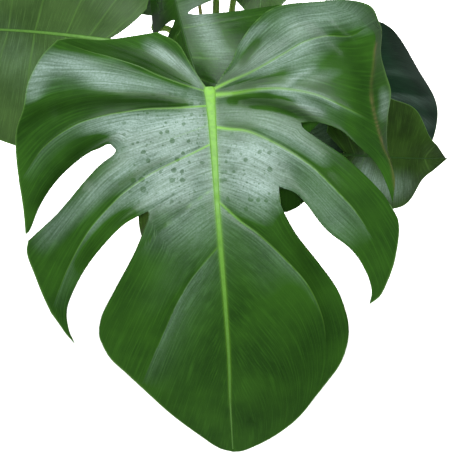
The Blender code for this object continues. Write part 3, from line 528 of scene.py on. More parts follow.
def vein_lines(points, veins):
    """How strongly each point of a flat blade lies on a vein, and how deep in the dip beside it.

    A vein is (brightness, width, line). The strength is exp(-(d/w)^2) for the distance d to the
    nearest vein, and w shrinks towards the vein's end. The dip is DIP_WIDTH times as wide.
    """
    strength, dip = np.zeros((2, *points.shape[:-1]))
    for bright, width, line in veins:
        _, share, aside, past = nearest(points, line, 60)
        away = np.hypot(aside, past) / (width * (1 - 0.75 * share**0.6))
        fade = bright * (1 - 0.62 * share**0.8) * (1 - smooth(share, 0.80, 1.0))
        strength = np.maximum(strength, fade * np.exp(-(away**2)))
        dip = np.maximum(dip, fade * np.exp(-((away / DIP_WIDTH) ** 2)))
    return strength, dip


def mesh_object(name, points, faces, finishes, indices=None, attributes=None, sharp=50):
    """A smooth-shaded mesh from whole arrays. faces is a list of arrays of quads or triangles, and
    an edge that turns by more than sharp degrees stays sharp."""
    mesh = bpy.data.meshes.new(name)
    loops = np.concatenate([f.ravel() for f in faces])
    sizes = np.concatenate([np.full(len(f), f.shape[1]) for f in faces])
    mesh.vertices.add(len(points))
    mesh.vertices.foreach_set("co", np.asarray(points, np.float32).ravel())
    mesh.loops.add(len(loops))
    mesh.loops.foreach_set("vertex_index", loops.astype(np.int32))
    mesh.polygons.add(len(sizes))
    mesh.polygons.foreach_set("loop_start", (np.cumsum(sizes) - sizes).astype(np.int32))
    for finish in finishes:
        mesh.materials.append(finish)
    if indices is not None:
        mesh.polygons.foreach_set("material_index", indices.astype(np.int32))
    for key, values in (attributes or {}).items():
        kind, field = ("FLOAT_VECTOR", "vector") if values.ndim == 2 else ("FLOAT", "value")
        layer = mesh.attributes.new(key, kind, "POINT")
        layer.data.foreach_set(field, values.astype(np.float32).ravel())
    mesh.update(calc_edges=True)
    mesh.validate()
    mesh.shade_smooth()
    mesh.set_sharp_from_angle(angle=math.radians(sharp))
    obj = bpy.data.objects.new(name, mesh)
    bpy.context.scene.collection.objects.link(obj)
    return obj


def settle(obj, slot, *nodes):
    """Put a finished piece on the plant: it rides on the one body and stands for these CAD nodes."""
    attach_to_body(obj, "root")
    if nodes:
        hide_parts(*nodes)


def patch(points, flip, leafmap, **marks):
    """A grid of a blade's points, its place on the leaf's map and its marks, which are 0 unless given."""
    marks = {key: marks.get(key, 0.0) + np.zeros(points.shape[:2]) for key in MARKS}
    return {"points": points, "flip": flip, "leafmap": leafmap, **marks}


def welded(patches):
    """Join patches of points and attributes where they touch, and drop the faces that collapse there."""
    first = 0
    quads = []
    for made in patches:
        rows, columns = made["points"].shape[:2]
        i, j = np.meshgrid(np.arange(rows - 1), np.arange(columns - 1), indexing="ij")
        a = (first + i * columns + j).ravel()
        corners = np.stack([a, a + 1, a + columns + 1, a + columns], 1)
        quads.append(corners if made["flip"] else corners[:, ::-1])
        first += rows * columns
    points = np.concatenate([made["points"].reshape(-1, 3) for made in patches])
    attributes = {key: np.concatenate([made[key].reshape(-1, *made[key].shape[2:]) for made in patches])
                  for key in ("leafmap", *MARKS)}
    cells = np.round(points / WELD_DISTANCE).astype(np.int64)
    _, keep, index = np.unique(cells, axis=0, return_index=True, return_inverse=True)
    quads = index.reshape(-1)[np.vstack(quads)]
    same = quads == np.roll(quads, -1, axis=1)
    collapsed = same.sum(1)
    whole = quads[collapsed == 0]
    whole = whole[(whole[:, 0] != whole[:, 2]) & (whole[:, 1] != whole[:, 3])]
    others = (same[collapsed == 1].argmax(1)[:, None] + np.array([1, 2, 3])) % 4
    triangles = np.take_along_axis(quads[collapsed == 1], others, axis=1)
    triangles = triangles[triangles[:, 0] != triangles[:, 2]]
    return points[keep], [whole, triangles], {key: v[keep] for key, v in attributes.items()}


def point_normals(points, faces):
    """The normal at each point: the mean of the face normals round it, by area."""
    normals = np.zeros_like(points)
    for f in faces:
        n = np.cross(points[f[:, 2]] - points[f[:, 0]], points[f[:, -1]] - points[f[:, 1]])
        for corner in f.T:
            np.add.at(normals, corner, n)
    return unit(normals)


def blade(name, patches, thickness, upper, under):
    """A closed blade: the upper face, the same points moved down their normals, and a rounded rim."""
    points, faces, attributes = welded(patches)
    n = len(points)
    normals = point_normals(points, faces)
    lower = points - normals * thickness
    sides = np.vstack([np.stack([f, np.roll(f, -1, axis=1)], -1).reshape(-1, 2) for f in faces])
    rim = sides[~np.isin(sides[:, 0] * n + sides[:, 1], sides[:, 1] * n + sides[:, 0])]
    a, b = rim.T
    outward = np.zeros_like(points)
    away = np.cross(points[b] - points[a], normals[a])
    np.add.at(outward, a, away)
    np.add.at(outward, b, away)
    used = np.unique(rim)
    middle_of = np.zeros(n, int)
    middle_of[used] = 2 * n + np.arange(len(used))
    middle = (points[used] + lower[used]) / 2 + unit(outward[used]) * thickness * RIM_ROUNDING
    upper_ring = np.stack([b, a, middle_of[a], middle_of[b]], 1)
    lower_ring = np.stack([middle_of[b], middle_of[a], a + n, b + n], 1)
    all_faces = [*faces, upper_ring, lower_ring, *[f[:, ::-1] + n for f in faces]]
    indices = np.concatenate([np.full(len(f), k > len(faces) + 1) for k, f in enumerate(all_faces)])
    both = {key: np.concatenate([v, v, v[used]]) for key, v in attributes.items()}
    return mesh_object(name, np.vstack([points, lower, middle]), all_faces, [upper, under], indices, both)


def ring_tube(name, rings, finishes, attributes=None, sharp=60):
    """A closed tube from rings of points, with a cap of triangles at each end."""
    count, sides = rings.shape[:2]
    points = np.vstack([rings.reshape(-1, 3), rings[0].mean(0), rings[-1].mean(0)])
    i, j = np.meshgrid(np.arange(count - 1), np.arange(sides), indexing="ij")
    a, b = (i * sides + j).ravel(), (i * sides + (j + 1) % sides).ravel()
    walls = np.stack([a, b, b + sides, a + sides], 1)
    k = np.arange(sides)
    after = (k + 1) % sides
    last = (count - 1) * sides
    caps = np.vstack([np.stack([after, k, 0 * k + last + sides], 1),
                      np.stack([last + k, last + after, 0 * k + last + sides + 1], 1)])
    spread = {}
    for key, values in (attributes or {}).items():
        values = np.broadcast_to(values.reshape(count, -1), (count, sides)).ravel()
        spread[key] = np.concatenate([values, values[:1], values[-1:]])
    return mesh_object(name, points, [walls, caps], finishes, None, spread, sharp)


def across_path(path, side):
    """Two directions across a path, the first as near to side as it can be."""
    tangent = unit(np.gradient(path, axis=0))
    across = unit(side - (side * tangent).sum(-1, keepdims=True) * tangent)
    return across, np.cross(tangent, across)


def carried(path, first, second, a, b):
    """A section carried along a path: from each of its points, a of the first direction and b of the
    second."""
    return path[:, None] + first[:, None] * a[..., None] + second[:, None] * b[..., None]


def view_axes():
    """The viewer's right, up and line of sight."""
    s, c = math.sin(VIEW_ELEVATION), math.cos(VIEW_ELEVATION)
    return np.array([1.0, 0, 0]), np.array([0, s, c]), np.array([0, c, -s])


def picture_centre():
    """The point at the middle of the picture, on the front leaf's drawing plane."""
    right, up, _ = view_axes()
    middle = (np.array(ATTACH_PIXEL) - np.array(CENTRE_PIXEL)) * PIXEL
    return np.array(FRONT_ATTACH) - middle[0] * right + middle[1] * up


def on_sight_line(pixels, depth):
    """Points that the viewer sees at these pixels, this far behind the front leaf's plane."""
    right, up, sight = view_axes()
    across = (pixels - np.array(CENTRE_PIXEL)) * PIXEL
    plane = across[..., :1] * right - across[..., 1:] * up
    return picture_centre() + plane * (1 + depth[..., None] / EYE_DISTANCE) + depth[..., None] * sight


def seen_at(points):
    """The pixels at which the viewer sees these points."""
    right, up, sight = view_axes()
    away = points - (picture_centre() - sight * EYE_DISTANCE)
    scale = EYE_DISTANCE / PIXEL / (away @ sight)
    return np.stack([away @ right * scale, -(away @ up) * scale], axis=-1) + CENTRE_PIXEL


def front_depth(pixels):
    """How far behind the drawing plane the front leaf lies at these pixels.

    It arches over: it falls back towards its notch, its tip and its sides as powers of the distance
    from its crest, and it lies in a bell-shaped valley along the midrib.
    """
    line = spline([*MIDRIB, FRONT_TIP], np.linspace(0, 1, 200))
    x = (pixels[..., 0] - ATTACH_PIXEL[0]) * PIXEL
    beside = (pixels[..., 0] - np.interp(pixels[..., 1], line[:, 1], line[:, 0])) * PIXEL
    past = (pixels[..., 1] - ATTACH_PIXEL[1]) * PIXEL - CREST
    arch = np.where(past < 0, NOTCH_FALL * (past / CREST) ** 2, TIP_FALL * (past / TIP_REACH) ** 2)
    sides = SIDE_FALL * (np.abs(x) / SIDE_REACH) ** 2.2
    valley = VALLEY_DEPTH * (1 - np.exp(-((beside / VALLEY_REACH) ** 2)))
    return arch + sides - valley


def bell(pixels, line, reach):
    """exp(-(d/reach)^2) for the distance d in pixels to a line."""
    return np.exp(-((nearest(pixels, line, 40)[0] / reach) ** 2))


def painted_light_on(pixels, marks):
    """How much painted light lies at these pixels: the painted sheen of the marks above zero joined as
    1 - product(1 - bell), and the painted shade of those below zero taken off in the same way. Each bell
    is exp(-(d/reach)^2.2), and it is weaker at its line's ends."""
    # clean is the share left without painted shade: 1 where no mark below zero reaches.
    pale, clean = 1.0, 1.0
    for strength, reach, line in marks:
        away, share, _, _ = nearest(pixels, line, 30)
        thin = 1 - 0.45 * np.abs(2 * share - 1) ** 4
        lies = 1 - abs(strength) * thin * np.exp(-((away / reach) ** 2.2))
        pale, clean = (pale * lies, clean) if strength > 0 else (pale, clean * lies)
    return (1 - pale) * clean - (1 - clean) + 0 * pixels[..., 0]


def painted_vein_flanks(pixels):
    """The painted highlights and painted shadows beside the veins: exp(-d/reach) on either side of a vein,
    bright on one and dark on the other, fading in and out along it as sin(pi s)^0.6."""
    lit = np.zeros(pixels.shape[:-1])
    for vein, bright, near, dark, far in FRONT_FLANKS:
        line = FRONT_VEINS[vein][2]
        gap, share, aside, _ = nearest(pixels, line, 60)
        below = aside * np.sign(line[-1][0] - line[0][0]) > 0
        away = np.abs(aside)
        side = np.where(below, bright * np.exp(-away / near), -dark * np.exp(-away / far))
        beyond = np.exp(-((np.maximum(gap - away - 0.5, 0) / 3) ** 2))
        lit += side * np.sin(np.pi * share) ** 0.6 * beyond
    return lit


def place_front(pixels, extra):
    """Lay pixels out in space with the blade's form, its swells and its veins."""
    looks = bpy.context.scene.plant_looks
    veins = [(bright, mm / 1000 / PIXEL, line) for bright, mm, line in FRONT_VEINS]
    strength, dip = vein_lines(pixels, veins)
    depth = front_depth(pixels) + extra + looks.vein_dip * dip - looks.vein_rise * strength
    for line, reach, deep in FRONT_SWELLS:
        depth = depth + deep * bell(pixels, line, reach)
    glow = vein_lines(pixels, [(0.95, MIDRIB_GLOW, [*MIDRIB, FRONT_TIP])])[0]
    return on_sight_line(pixels, depth), np.maximum(strength, glow)


def row_shares():
    """Shares from midrib to margin: closer together near the midrib and near the margin."""
    near = INNER_SHARE * np.linspace(0, 1, FRONT_ROWS[0] + 1) ** 1.25
    far = INNER_SHARE + (1 - INNER_SHARE) * (1 - (1 - np.linspace(0, 1, FRONT_ROWS[1] + 1)) ** 1.25)
    return np.concatenate([near, far[1:]])


def front_rib(start, rib, side, t):
    """A rib of the front leaf at shares t. side 1 follows a slit's base side, 2 its tip side."""
    inner, edge = rib[2], rib[2 + side]
    near = np.minimum(t / INNER_SHARE, 1)
    far = np.maximum((t - INNER_SHARE) / (1 - INNER_SHARE), 0)
    if not edge:
        return spline([start, *inner], near * VEIN_SHARE + far * (1 - VEIN_SHARE))
    on_blade = (t <= INNER_SHARE)[:, None]
    return np.where(on_blade, spline([start, *inner], near), spline([inner[-1], *edge], far))


def midrib_at(height):
    """The front leaf's midrib at a pixel height."""
    line = spline(MIDRIB, np.linspace(0, 1, 200))
    return np.stack([np.interp(height, line[:, 1], line[:, 0]), np.asarray(height, float)], axis=-1)


def wet_mask(pixels):
    """Where dried drops show on the front leaf: exp(-(x/a)^4 - (y/b)^4) at two places."""
    spots = [np.exp(-(((pixels - middle) / reach) ** 4).sum(-1)) for middle, reach in WET_SPOTS]
    return np.max(spots, axis=0)


def front_half(ribs, margins, folds, flip):
    """The strips of one half of the front leaf, each a grid between two ribs, the midrib and the margin.

    Across a strip the relief goes from one rib's to the next as a cosine, with a bulge sin(pi q^1.3)
    and soft folds. From midrib to margin it comes and goes as sin(pi t^1.3).
    """
    looks = bpy.context.scene.plant_looks
    patches = []
    stops = [rib[0] for rib in ribs] + [MIDRIB[-1][1]]
    t = row_shares()
    run = 0.0
    for k, (rib, end) in enumerate(zip(ribs, [*ribs[1:], TIP_RIB])):
        outline = [(rib[4] or rib[2])[-1], *margins[k], (end[3] or end[2])[-1]]
        length = run_along(np.array(outline, float))[-1] * PIXEL
        q = crowded(max(8, round(length / looks.column_step)), 0.75)
        bottom = midrib_at(stops[k] + (stops[k + 1] - stops[k]) * q)
        top = spline(outline, q)
        to_tip = end is TIP_RIB
        side_b = spline([bottom[-1], FRONT_TIP], t) if to_tip else front_rib(bottom[-1], end, 1, t)
        grid = coons(q, t, bottom, top, front_rib(bottom[0], rib, 2, t), side_b)
        first, last = RELIEF[rib[1]], RELIEF[end[1]]
        height = first + (last - first) * (0.5 - 0.5 * np.cos(np.pi * q))
        quilt = looks.quilting * (1 - np.cos(math.tau * max(1, round(length / QUILT_SPACING)) * q))
        bulge = PANEL_BULGE * np.sin(np.pi * q**1.3) * (rib[1] != "slit" and not to_tip)
        extra = (height - bulge)[:, None] * np.sin(np.pi * t**1.3)
        extra = extra - quilt[:, None] * t * np.sin(np.pi * t) ** 1.5
        edge_mm = np.broadcast_to((1 - t) * HALF_WIDTH_MM, extra.shape)
        shares = np.broadcast_to(t, extra.shape)
        if k < len(folds):
            over = np.linspace(0, 1, FOLD_ROWS + 1)[1:]
            ramp = (q, np.ones_like(q), 1 - q)[k][:, None]
            beyond = spline(folds[k], q)[:, None] * over[:, None]
            grid = np.concatenate([grid, top[:, None] * (1 - over[:, None]) + beyond], axis=1)
            extra = extra + FOLD_ROLL * smooth(t, 0.86, 1.0) ** 2 * ramp
            deep = FOLD_DEPTH * (0.25 * over**0.8 + 0.75 * over**1.3) * ramp
            extra = np.concatenate([extra, extra[:, -1:] + deep], axis=1)
            past = np.broadcast_to(FOLD_WIDTH_MM * (1 - over), deep.shape)
            edge_mm = np.concatenate([edge_mm + FOLD_WIDTH_MM, past], axis=1)
            shares = np.concatenate([shares, np.ones_like(past)], axis=1)
        points, strength = place_front(grid, extra)
        margin = np.exp(-edge_mm / MARGIN_MM)
        if k == 0:
            margin = np.maximum(margin, 0.9 * bell(grid, [bottom[0], *rib[2]], 1.5))
        along = run + run_along(grid[:, len(t) * 6 // 10]) * PIXEL
        run = along[-1]
        leafmap = np.stack(np.broadcast_arrays(along[:, None], shares * HALF_WIDTH, 0.0), axis=-1)
        # Painted sheen and painted shade on this strip, with the painted highlights and shadows beside its
        # veins.
        film = painted_light_on(grid, FRONT_PAINTED_LIGHT) + painted_vein_flanks(grid)
        patches.append(patch(points, flip, leafmap, vein=strength, margin=margin, wet=wet_mask(grid),
                             rust=0.6 * bell(grid, FRONT_RUST, 1.6), film=film))
    return patches


def turned_edge(name, rib, side, reach, line, film, rust, finishes):
    """A slit's edge that is turned down and back: from the blade's own edge to a line in the picture,
    its depth growing as the share down to it to the power 0.7."""
    share = np.linspace(0, 1, 30)
    t = INNER_SHARE + (1 - INNER_SHARE) * reach * share
    edge = front_rib(midrib_at(rib[0]), rib, side, t)[:, None]
    down = np.linspace(0, 1, 9)
    grid = edge * (1 - down[:, None]) + spline(line, share)[:, None] * down[:, None]
    relief = RELIEF["slit"] * np.sin(np.pi * t**1.3)
    points = place_front(grid, relief[:, None] + TURN_DEPTH * down**0.7)[0]
    leafmap = np.concatenate([grid * PIXEL, 0 * grid[..., :1]], axis=-1)
    return blade(name, [patch(points, True, leafmap, rust=rust, film=film)], TURN_THICKNESS, *finishes)


def vein_point(spec, u, t):
    """The point at share t of the lateral vein u: a quadratic curve from the midrib to the margin."""
    length, width = spec["length"], spec["width"]
    share = np.linspace(0, 1, 120)
    drawn = [(x * width, y * length * (spec["lobe"] if y > 0 else 1)) for x, y in spec["outline"]]
    margin = spline(drawn, share)
    end = np.stack([np.interp(u, share, margin[:, 0]), np.interp(u, share, margin[:, 1])], -1)
    start = np.stack([0 * u, -length * MIDRIB_SHARE * np.maximum(u, 0) ** MIDRIB_POWER], -1)
    lift = 0.05 * length * (1 - u)
    turn = np.stack([0.5 * end[..., 0], start[..., 1] + 0.3 * (end[..., 1] - start[..., 1]) + lift], -1)
    t = t[..., None]
    return (1 - t) ** 2 * start + 2 * t * (1 - t) * turn + t**2 * end


def leaf_axes(spec):
    """The leaf's side, tip and face directions, at right angles to each other."""
    tip = unit(spec["tip"])
    face = np.asarray(spec["face"], float)
    face = unit(face - tip * face.dot(tip))
    return np.cross(-tip, face), tip, face


def bent(spec, x, y, lift):
    """Points of a flat blade out in space: its halves folded up, its width and its length curved down
    as circular arcs, and all laid along the leaf's own side, tip and face directions."""
    fold = math.radians(spec["fold"])
    lift = lift + np.abs(x) * math.sin(fold)
    x = x * math.cos(fold)
    across = math.radians(spec["curl"]) / (spec["width"] / 2)
    along = math.radians(spec["bend"]) / spec["length"]
    lift = lift - (1 - np.cos(across * x)) / across - (1 - np.cos(along * y)) / along
    flat = np.stack([np.sin(across * x) / across, -np.sin(along * y) / along, lift], -1)
    return spec["attach"] + flat @ np.array(leaf_axes(spec))


def leaf_half(spec, side, film):
    """The strips of one half of a leaf, between its slits, by the place u round it and the share t out.

    It ripples as sin(2 pi (2.6 u + phase)) t^2 and rises out of a bell-shaped trough at the midrib. A
    slit widens as the share of the way along it to the power SLIT_POWER.
    """
    looks = bpy.context.scene.plant_looks
    width = spec["width"]
    margin_length = 1.15 * spec["length"] + 0.3 * width
    sign, phase = (1, 0.15) if side == "R" else (-1, 0.55)
    stops = [(0.0, 0.4, 0.0), *[s[:3] for s in spec["slits"] if side in s[3]], (1.0, 0.4, 0.0)]
    rows = row_shares()[::2]
    lines = np.linspace(0, 1, 12)
    veins = [(0.32, 0.0034 * width, vein_point(spec, np.full(12, u), lines)) for u in LEAF_VEINS]
    patches = []
    for low, high in zip(stops, stops[1:]):
        columns = (high[0] - low[0]) * margin_length / (looks.column_step * 1.1)
        q = crowded(max(10, round(columns)), 0.35)[:, None]
        inner = low[1] + (high[1] - low[1]) * q
        outer = inner + (1 - inner) * (rows - INNER_SHARE) / (1 - INNER_SHARE)
        t = np.where(rows <= INNER_SHARE, rows / INNER_SHARE * inner, outer)
        opening = np.clip((t - inner) / (1 - inner), 0, 1) ** SLIT_POWER
        place = (low[0] + low[2] * opening) * (1 - q) + (high[0] - high[2] * opening) * q
        flat = vein_point(spec, place, t)
        strength, dip = vein_lines(flat, veins)
        ripple = spec["wave"] * np.sin(math.tau * (2.6 * place + phase)) * t**2
        trough = 0.03 * width * (1 - np.exp(-((flat[..., 0] / (0.10 * width)) ** 2)))
        quilt = looks.quilting * (1 - np.cos(math.tau * 16 * place)) * t * np.sin(np.pi * t) ** 1.5
        lift = ripple + trough + quilt - looks.vein_dip * dip + looks.vein_rise * strength
        points = bent(spec, flat[..., 0] * sign, flat[..., 1], lift)
        leafmap = np.stack([place * margin_length, t * width * 0.6, 0 * t], axis=-1)
        margin = np.exp(-(1 - t) * width * 500 / MARGIN_MM)
        patches.append(patch(points, side == "L", leafmap, vein=strength, margin=margin,
                             film=painted_light_on(seen_at(points), film)))
    return patches


def ridge(name, line, normal, width, up, down, finishes):
    """A rib along a line on a blade: half ellipses of this width, up above the blade and down below."""
    side = unit(np.cross(unit(np.gradient(line, axis=0)), normal))
    turn = around(20)
    tall = np.where(np.sin(turn) > 0, up[:, None], down[:, None])
    rings = carried(line, side, normal, width[:, None] / 2 * np.cos(turn), tall * np.sin(turn))
    along = np.linspace(1, 0, len(line)) ** 0.7
    flank = np.broadcast_to(np.abs(np.cos(turn)) ** 3, tall.shape)
    return ring_tube(name, rings[::-1], finishes, {"along": along, "flank": flank})


def front_midrib(finishes):
    """The front leaf's midrib, its width read from the picture at each height."""
    low, tip = MIDRIB[-1][1], FRONT_TIP[1]
    upper, lower = np.linspace(87, low, 150), np.linspace(low + 2, tip - 3, 20)
    heights = np.concatenate([upper, lower])
    line = np.vstack([midrib_at(upper), spline([MIDRIB[-1], FRONT_TIP], (lower - low) / (tip - low))])
    path = place_front(line, 0.0)[0]
    beside = place_front(line + (3, 0), 0.0)[0] - place_front(line - (3, 0), 0.0)[0]
    normal = unit(np.cross(beside, -np.gradient(path, axis=0)))
    width = np.interp(heights, *np.transpose(MIDRIB_WIDTH)) * PIXEL
    up = np.clip(width * 0.13, 0.0003, 0.0009)
    down = 0.0028 * (1 - smooth(heights, 90, 430)) + 0.0007
    return ridge("front_midrib", path, normal, width, up, down, finishes)


def leaf_midrib(name, spec, finishes):
    """The midrib of one of the other leaves, from its stalk to its tip. Its width shrinks as s^0.8."""
    run = np.linspace(-0.006, spec["length"] * 0.985, 90)
    path = bent(spec, 0 * run, -run, 0 * run)
    side, _, face = leaf_axes(spec)
    normal = unit(np.cross(unit(np.gradient(path, axis=0)), side + 0 * path))
    normal *= np.sign((normal * face).sum(-1, keepdims=True))
    share = np.linspace(0, 1, len(run))
    width = spec["width"] * (0.019 - 0.014 * share**0.8)
    up = np.clip(width * 0.16, 0.0002, 0.0009)
    down = 0.0026 * (1 - share) + 0.0007
    return ridge(f"{name}_midrib", path, normal, width, up, down, finishes)


def node_swell(height, power):
    """How much the stem swells at a height: a power of a cosine, 1 at each node."""
    return np.abs(np.cos(np.pi * (height - STEM_FOOT[2]) / STEM_NODE_SPACING)) ** power


def stem_radius(height):
    """The stem's radius at a height: it tapers evenly, and swells at each node as cos^6."""
    share = (height - STEM_FOOT[2]) / (STEM_TOP[2] - STEM_FOOT[2])
    return STEM_RADIUS * (1 - STEM_TAPER * share) + STEM_NODE_SWELL * node_swell(height, 6)


def stem_at(height):
    """The stem's axis at a height."""
    foot, top = np.array(STEM_FOOT), np.array(STEM_TOP)
    return foot + (top - foot) * (np.asarray(height) - foot[2])[..., None] / (top[2] - foot[2])


def seat_on_stem(height, bearing, rise):
    """Where the axis of a stalk starts, just inside the stem, and its direction."""
    out = np.array([math.cos(math.radians(bearing)), math.sin(math.radians(bearing)), 0])
    start = stem_at(height) + out * (stem_radius(height) - SEAT_DEPTH)
    return start, unit(out * math.cos(rise) + np.array([0, 0, math.sin(rise)]))


def petiole(name, attach, face, finishes):
    """A leaf stalk from the stem to the midrib: round, with a channel on its upper side that closes
    towards the blade, a sheath that clasps the stem, and a swollen knee just below the blade. All
    three are bell curves: of the angle from the top, and of the share of the way from either end."""
    height, bearing, middle, thick, thin = PETIOLES[name]
    seat, out = seat_on_stem(height, bearing, PETIOLE_RISE)
    end = np.asarray(attach) - face * PETIOLE_BELOW_BLADE
    share = np.linspace(0, 1, 110)
    path = spline([seat, seat + out * COLLAR, *middle, end - face * KNEE, end], share)
    path[-6:] = end - face * np.linspace(STRAIGHT_END, 0, 6)[:, None]
    sideways = np.array([-math.sin(math.radians(bearing)), math.cos(math.radians(bearing)), 0.0])
    across, inward = across_path(path, sideways)
    knee = KNEE_SWELL * np.exp(-(((1 - share) / 0.055) ** 2))
    sheath = SHEATH_SWELL * np.exp(-((share / 0.10) ** 2))
    radius = (thick + (thin - thick) * share**0.7) * (1 + knee)
    turn = around(28)
    upper = np.sin(turn) * np.sign(inward[:, 2:3] + 1e-9)
    open_part = CHANNEL_DEPTH * (1 - smooth(share, 0.25, 0.8))[:, None]
    channel = 1 - open_part * np.exp(-((1 - upper) / 0.16) ** 2)
    size = radius[:, None] * channel
    rings = carried(path, across, inward, size * (1 + sheath)[:, None] * np.cos(turn), size * np.sin(turn))
    return ring_tube(f"{name}_stalk", rings, finishes, {"along": share})


def rolled_leaf(finishes):
    """The rolled new leaf: a spiral in section, r (1 + 0.3 (s - 0.5)), whose edge winds up it."""
    share = np.linspace(0, 1, 150)
    path = spline(ROLLED_PATH, share)
    radius = np.interp(share, np.linspace(0, 1, len(ROLLED_RADII)), ROLLED_RADII)[:, None]
    turn = np.linspace(0, 1, 40)
    size = radius * (1 + 0.30 * smooth(share, 0.50, 0.62)[:, None] * (turn - 0.5))
    angle = math.tau * turn + 5.0 * share[:, None]
    axes = across_path(path, np.array([1.0, 0, 0]))
    rings = carried(path, *axes, size * np.cos(angle), size * np.sin(angle))
    return ring_tube("new_leaf_roll", rings, finishes, {"along": share}, 35)


def stem(finishes):
    """The stem: a round tube with a sharp ring at each node, as cos^40, and STEM_RIBS shallow ribs, a sine
    round it that winds up it. Its top closes as a quarter of a circle."""
    heights = np.linspace(STEM_FOOT[2], STEM_TOP[2], 260)
    turn = around(64)
    ring = node_swell(heights, 40)
    ribs = 1 + STEM_RIB_SHARE * np.sin(STEM_RIBS * turn + STEM_RIB_TWIST * heights[:, None])
    over = np.clip((heights - STEM_TOP[2]) / STEM_DOME + 1, 0, 1)
    dome = np.sqrt(np.clip(1 - over**2, 0.02, 1))[:, None]
    radius = (stem_radius(heights) + STEM_RING * ring)[:, None] * ribs * dome
    rings = carried(stem_at(heights), *FLAT_AXES, radius * np.cos(turn), radius * np.sin(turn))
    return ring_tube("stem_of_plant", rings, finishes, {"along": ring})


def root(k, finishes):
    """An aerial root: out from the stem, then down into the soil, a little knotty along its way."""
    bearing, height, reach, radius = ROOTS[k]
    seat, out = seat_on_stem(height, bearing, ROOT_RISE)
    flat = unit((out[0], out[1], 0))
    foot = stem_at(height) * (1, 1, 0) + flat * reach
    middle = foot + (0, 0, (height + SOIL_LEVEL) / 2 + ROOT_BOW)
    low = foot + flat * ROOT_BOW + (0, 0, SOIL_LEVEL - ROOT_DEPTH)
    share = np.linspace(0, 1, 70)
    path = spline([seat, seat + out * ROOT_COLLAR, middle, low], share)
    turn = around(20)
    size = (radius * (1 - 0.35 * share) * (1 + 0.10 * lumps(path, 0.006, 40 + k)))[:, None]
    side = np.cross(flat, (0, 0, 1.0))
    rings = carried(path, *across_path(path, side), size * np.cos(turn), size * np.sin(turn))
    return ring_tube(f"root_{k + 1}", rings, finishes, {"along": share})


def pot_inner_radius(z):
    """Radius of the pot's inside at a height."""
    slope = (POT_RIM_RADIUS - RIM_BAND_STEP - POT_BASE_RADIUS) / POT_HEIGHT
    return POT_BASE_RADIUS + slope * z - POT_WALL


def arc(radius, height, size, start, stop):
    """Points of a quarter-round, by its centre, its size and its first and last angle in degrees."""
    a = np.radians(np.linspace(start, stop, 7))
    return np.stack([radius + size * np.cos(a), height + size * np.sin(a)], 1)


def pot(finishes):
    """The pot: a thrown clay wall with a rim band and softened edges, a profile of (radius, height)
    turned round Z with fine turning marks, and its drain holes."""
    band = POT_HEIGHT - RIM_BAND_HEIGHT
    profile = np.vstack([
        [(0.0001, POT_WALL), (pot_inner_radius(POT_WALL) - 0.002, POT_WALL)],
        [(pot_inner_radius(z), z) for z in np.linspace(POT_WALL + 0.002, POT_HEIGHT - 0.003, 60)],
        arc(pot_inner_radius(POT_HEIGHT) + LIP_ROUND, POT_HEIGHT - LIP_ROUND, LIP_ROUND, 180, 90),
        arc(POT_RIM_RADIUS - LIP_ROUND, POT_HEIGHT - LIP_ROUND, LIP_ROUND, 90, 0),
        [(POT_RIM_RADIUS - 0.001 * (POT_HEIGHT - z) / RIM_BAND_HEIGHT, z)
         for z in np.linspace(POT_HEIGHT - 0.004, band + 0.003, 24)],
        arc(POT_RIM_RADIUS - 0.003, band + 0.002, 0.002, 0, -90),
        [(pot_inner_radius(z) + POT_WALL, z) for z in np.linspace(band - 0.0002, 0.003, 110)],
        arc(POT_BASE_RADIUS - FOOT_ROUND, FOOT_ROUND, FOOT_ROUND, 0, -90),
        [(0.0001, 0.0)],
    ])
    radius, height = profile.T
    share, spacing, drift = TURNING_MARKS
    radius = radius * (1 + share * np.sin(height / spacing + 2.0 * np.sin(height / drift)))
    turn = around(96)
    axis = height[:, None] * (0, 0, 1.0)
    rings = carried(axis, *FLAT_AXES, radius[:, None] * np.cos(turn), radius[:, None] * np.sin(turn))
    return drained(ring_tube("clay_pot", rings, finishes, {"along": height}, 40))


def drained(obj):
    """Cut round drain holes through the pot's base, evenly spaced on a circle."""
    turn = around(32)
    pins = []
    for angle in around(DRAIN_HOLES):
        ring = [DRAIN_HOLE_RADIUS * np.cos(turn) + DRAIN_HOLE_CIRCLE * math.cos(angle),
                DRAIN_HOLE_RADIUS * np.sin(turn) + DRAIN_HOLE_CIRCLE * math.sin(angle)]
        ends = [np.stack([*ring, np.full(32, z)], axis=1) for z in (-0.01, POT_WALL + 0.01)]
        pins.append(ring_tube("drain_pin", np.stack(ends), []))
        cut = obj.modifiers.new("drain", "BOOLEAN")
        cut.operation, cut.solver, cut.object = "DIFFERENCE", "EXACT", pins[-1]
    whole = bpy.data.meshes.new_from_object(obj.evaluated_get(bpy.context.evaluated_depsgraph_get()))
    obj.modifiers.clear()
    obj.data = whole
    for pin in pins:
        bpy.data.objects.remove(pin)
    return obj


def soil_height(x, y):
    """Height of the soil: a low mound at the stem, cos^2 shaped, with lumps of three sizes."""
    r = np.clip(np.hypot(x, y) / pot_inner_radius(SOIL_LEVEL), 0, 1)
    at = np.stack([x, y], -1)
    rough = sum(tall * lumps(at, size, 3 + k) for k, (tall, size) in enumerate(SOIL_LUMPS))
    return SOIL_LEVEL + SOIL_MOUND * np.cos(np.pi * r / 2) ** 2 + rough


def soil(finishes):
    """The soil: the plug that fills the pot, with a lumpy top."""
    edge = pot_inner_radius(SOIL_LEVEL) - 0.0004
    low = POT_WALL + 0.0006
    radii = np.concatenate([[pot_inner_radius(low) - 0.0006], np.linspace(edge, 0.001, 70), [0.0002]])
    turn = around(160)
    x, y = radii[:, None] * np.cos(turn), radii[:, None] * np.sin(turn)
    z = soil_height(x, y)
    z[0] = low
    along = np.linspace(0, 1, len(radii))
    return ring_tube("potting_mix", np.stack([x, y, z], -1), finishes, {"along": along}, 60)


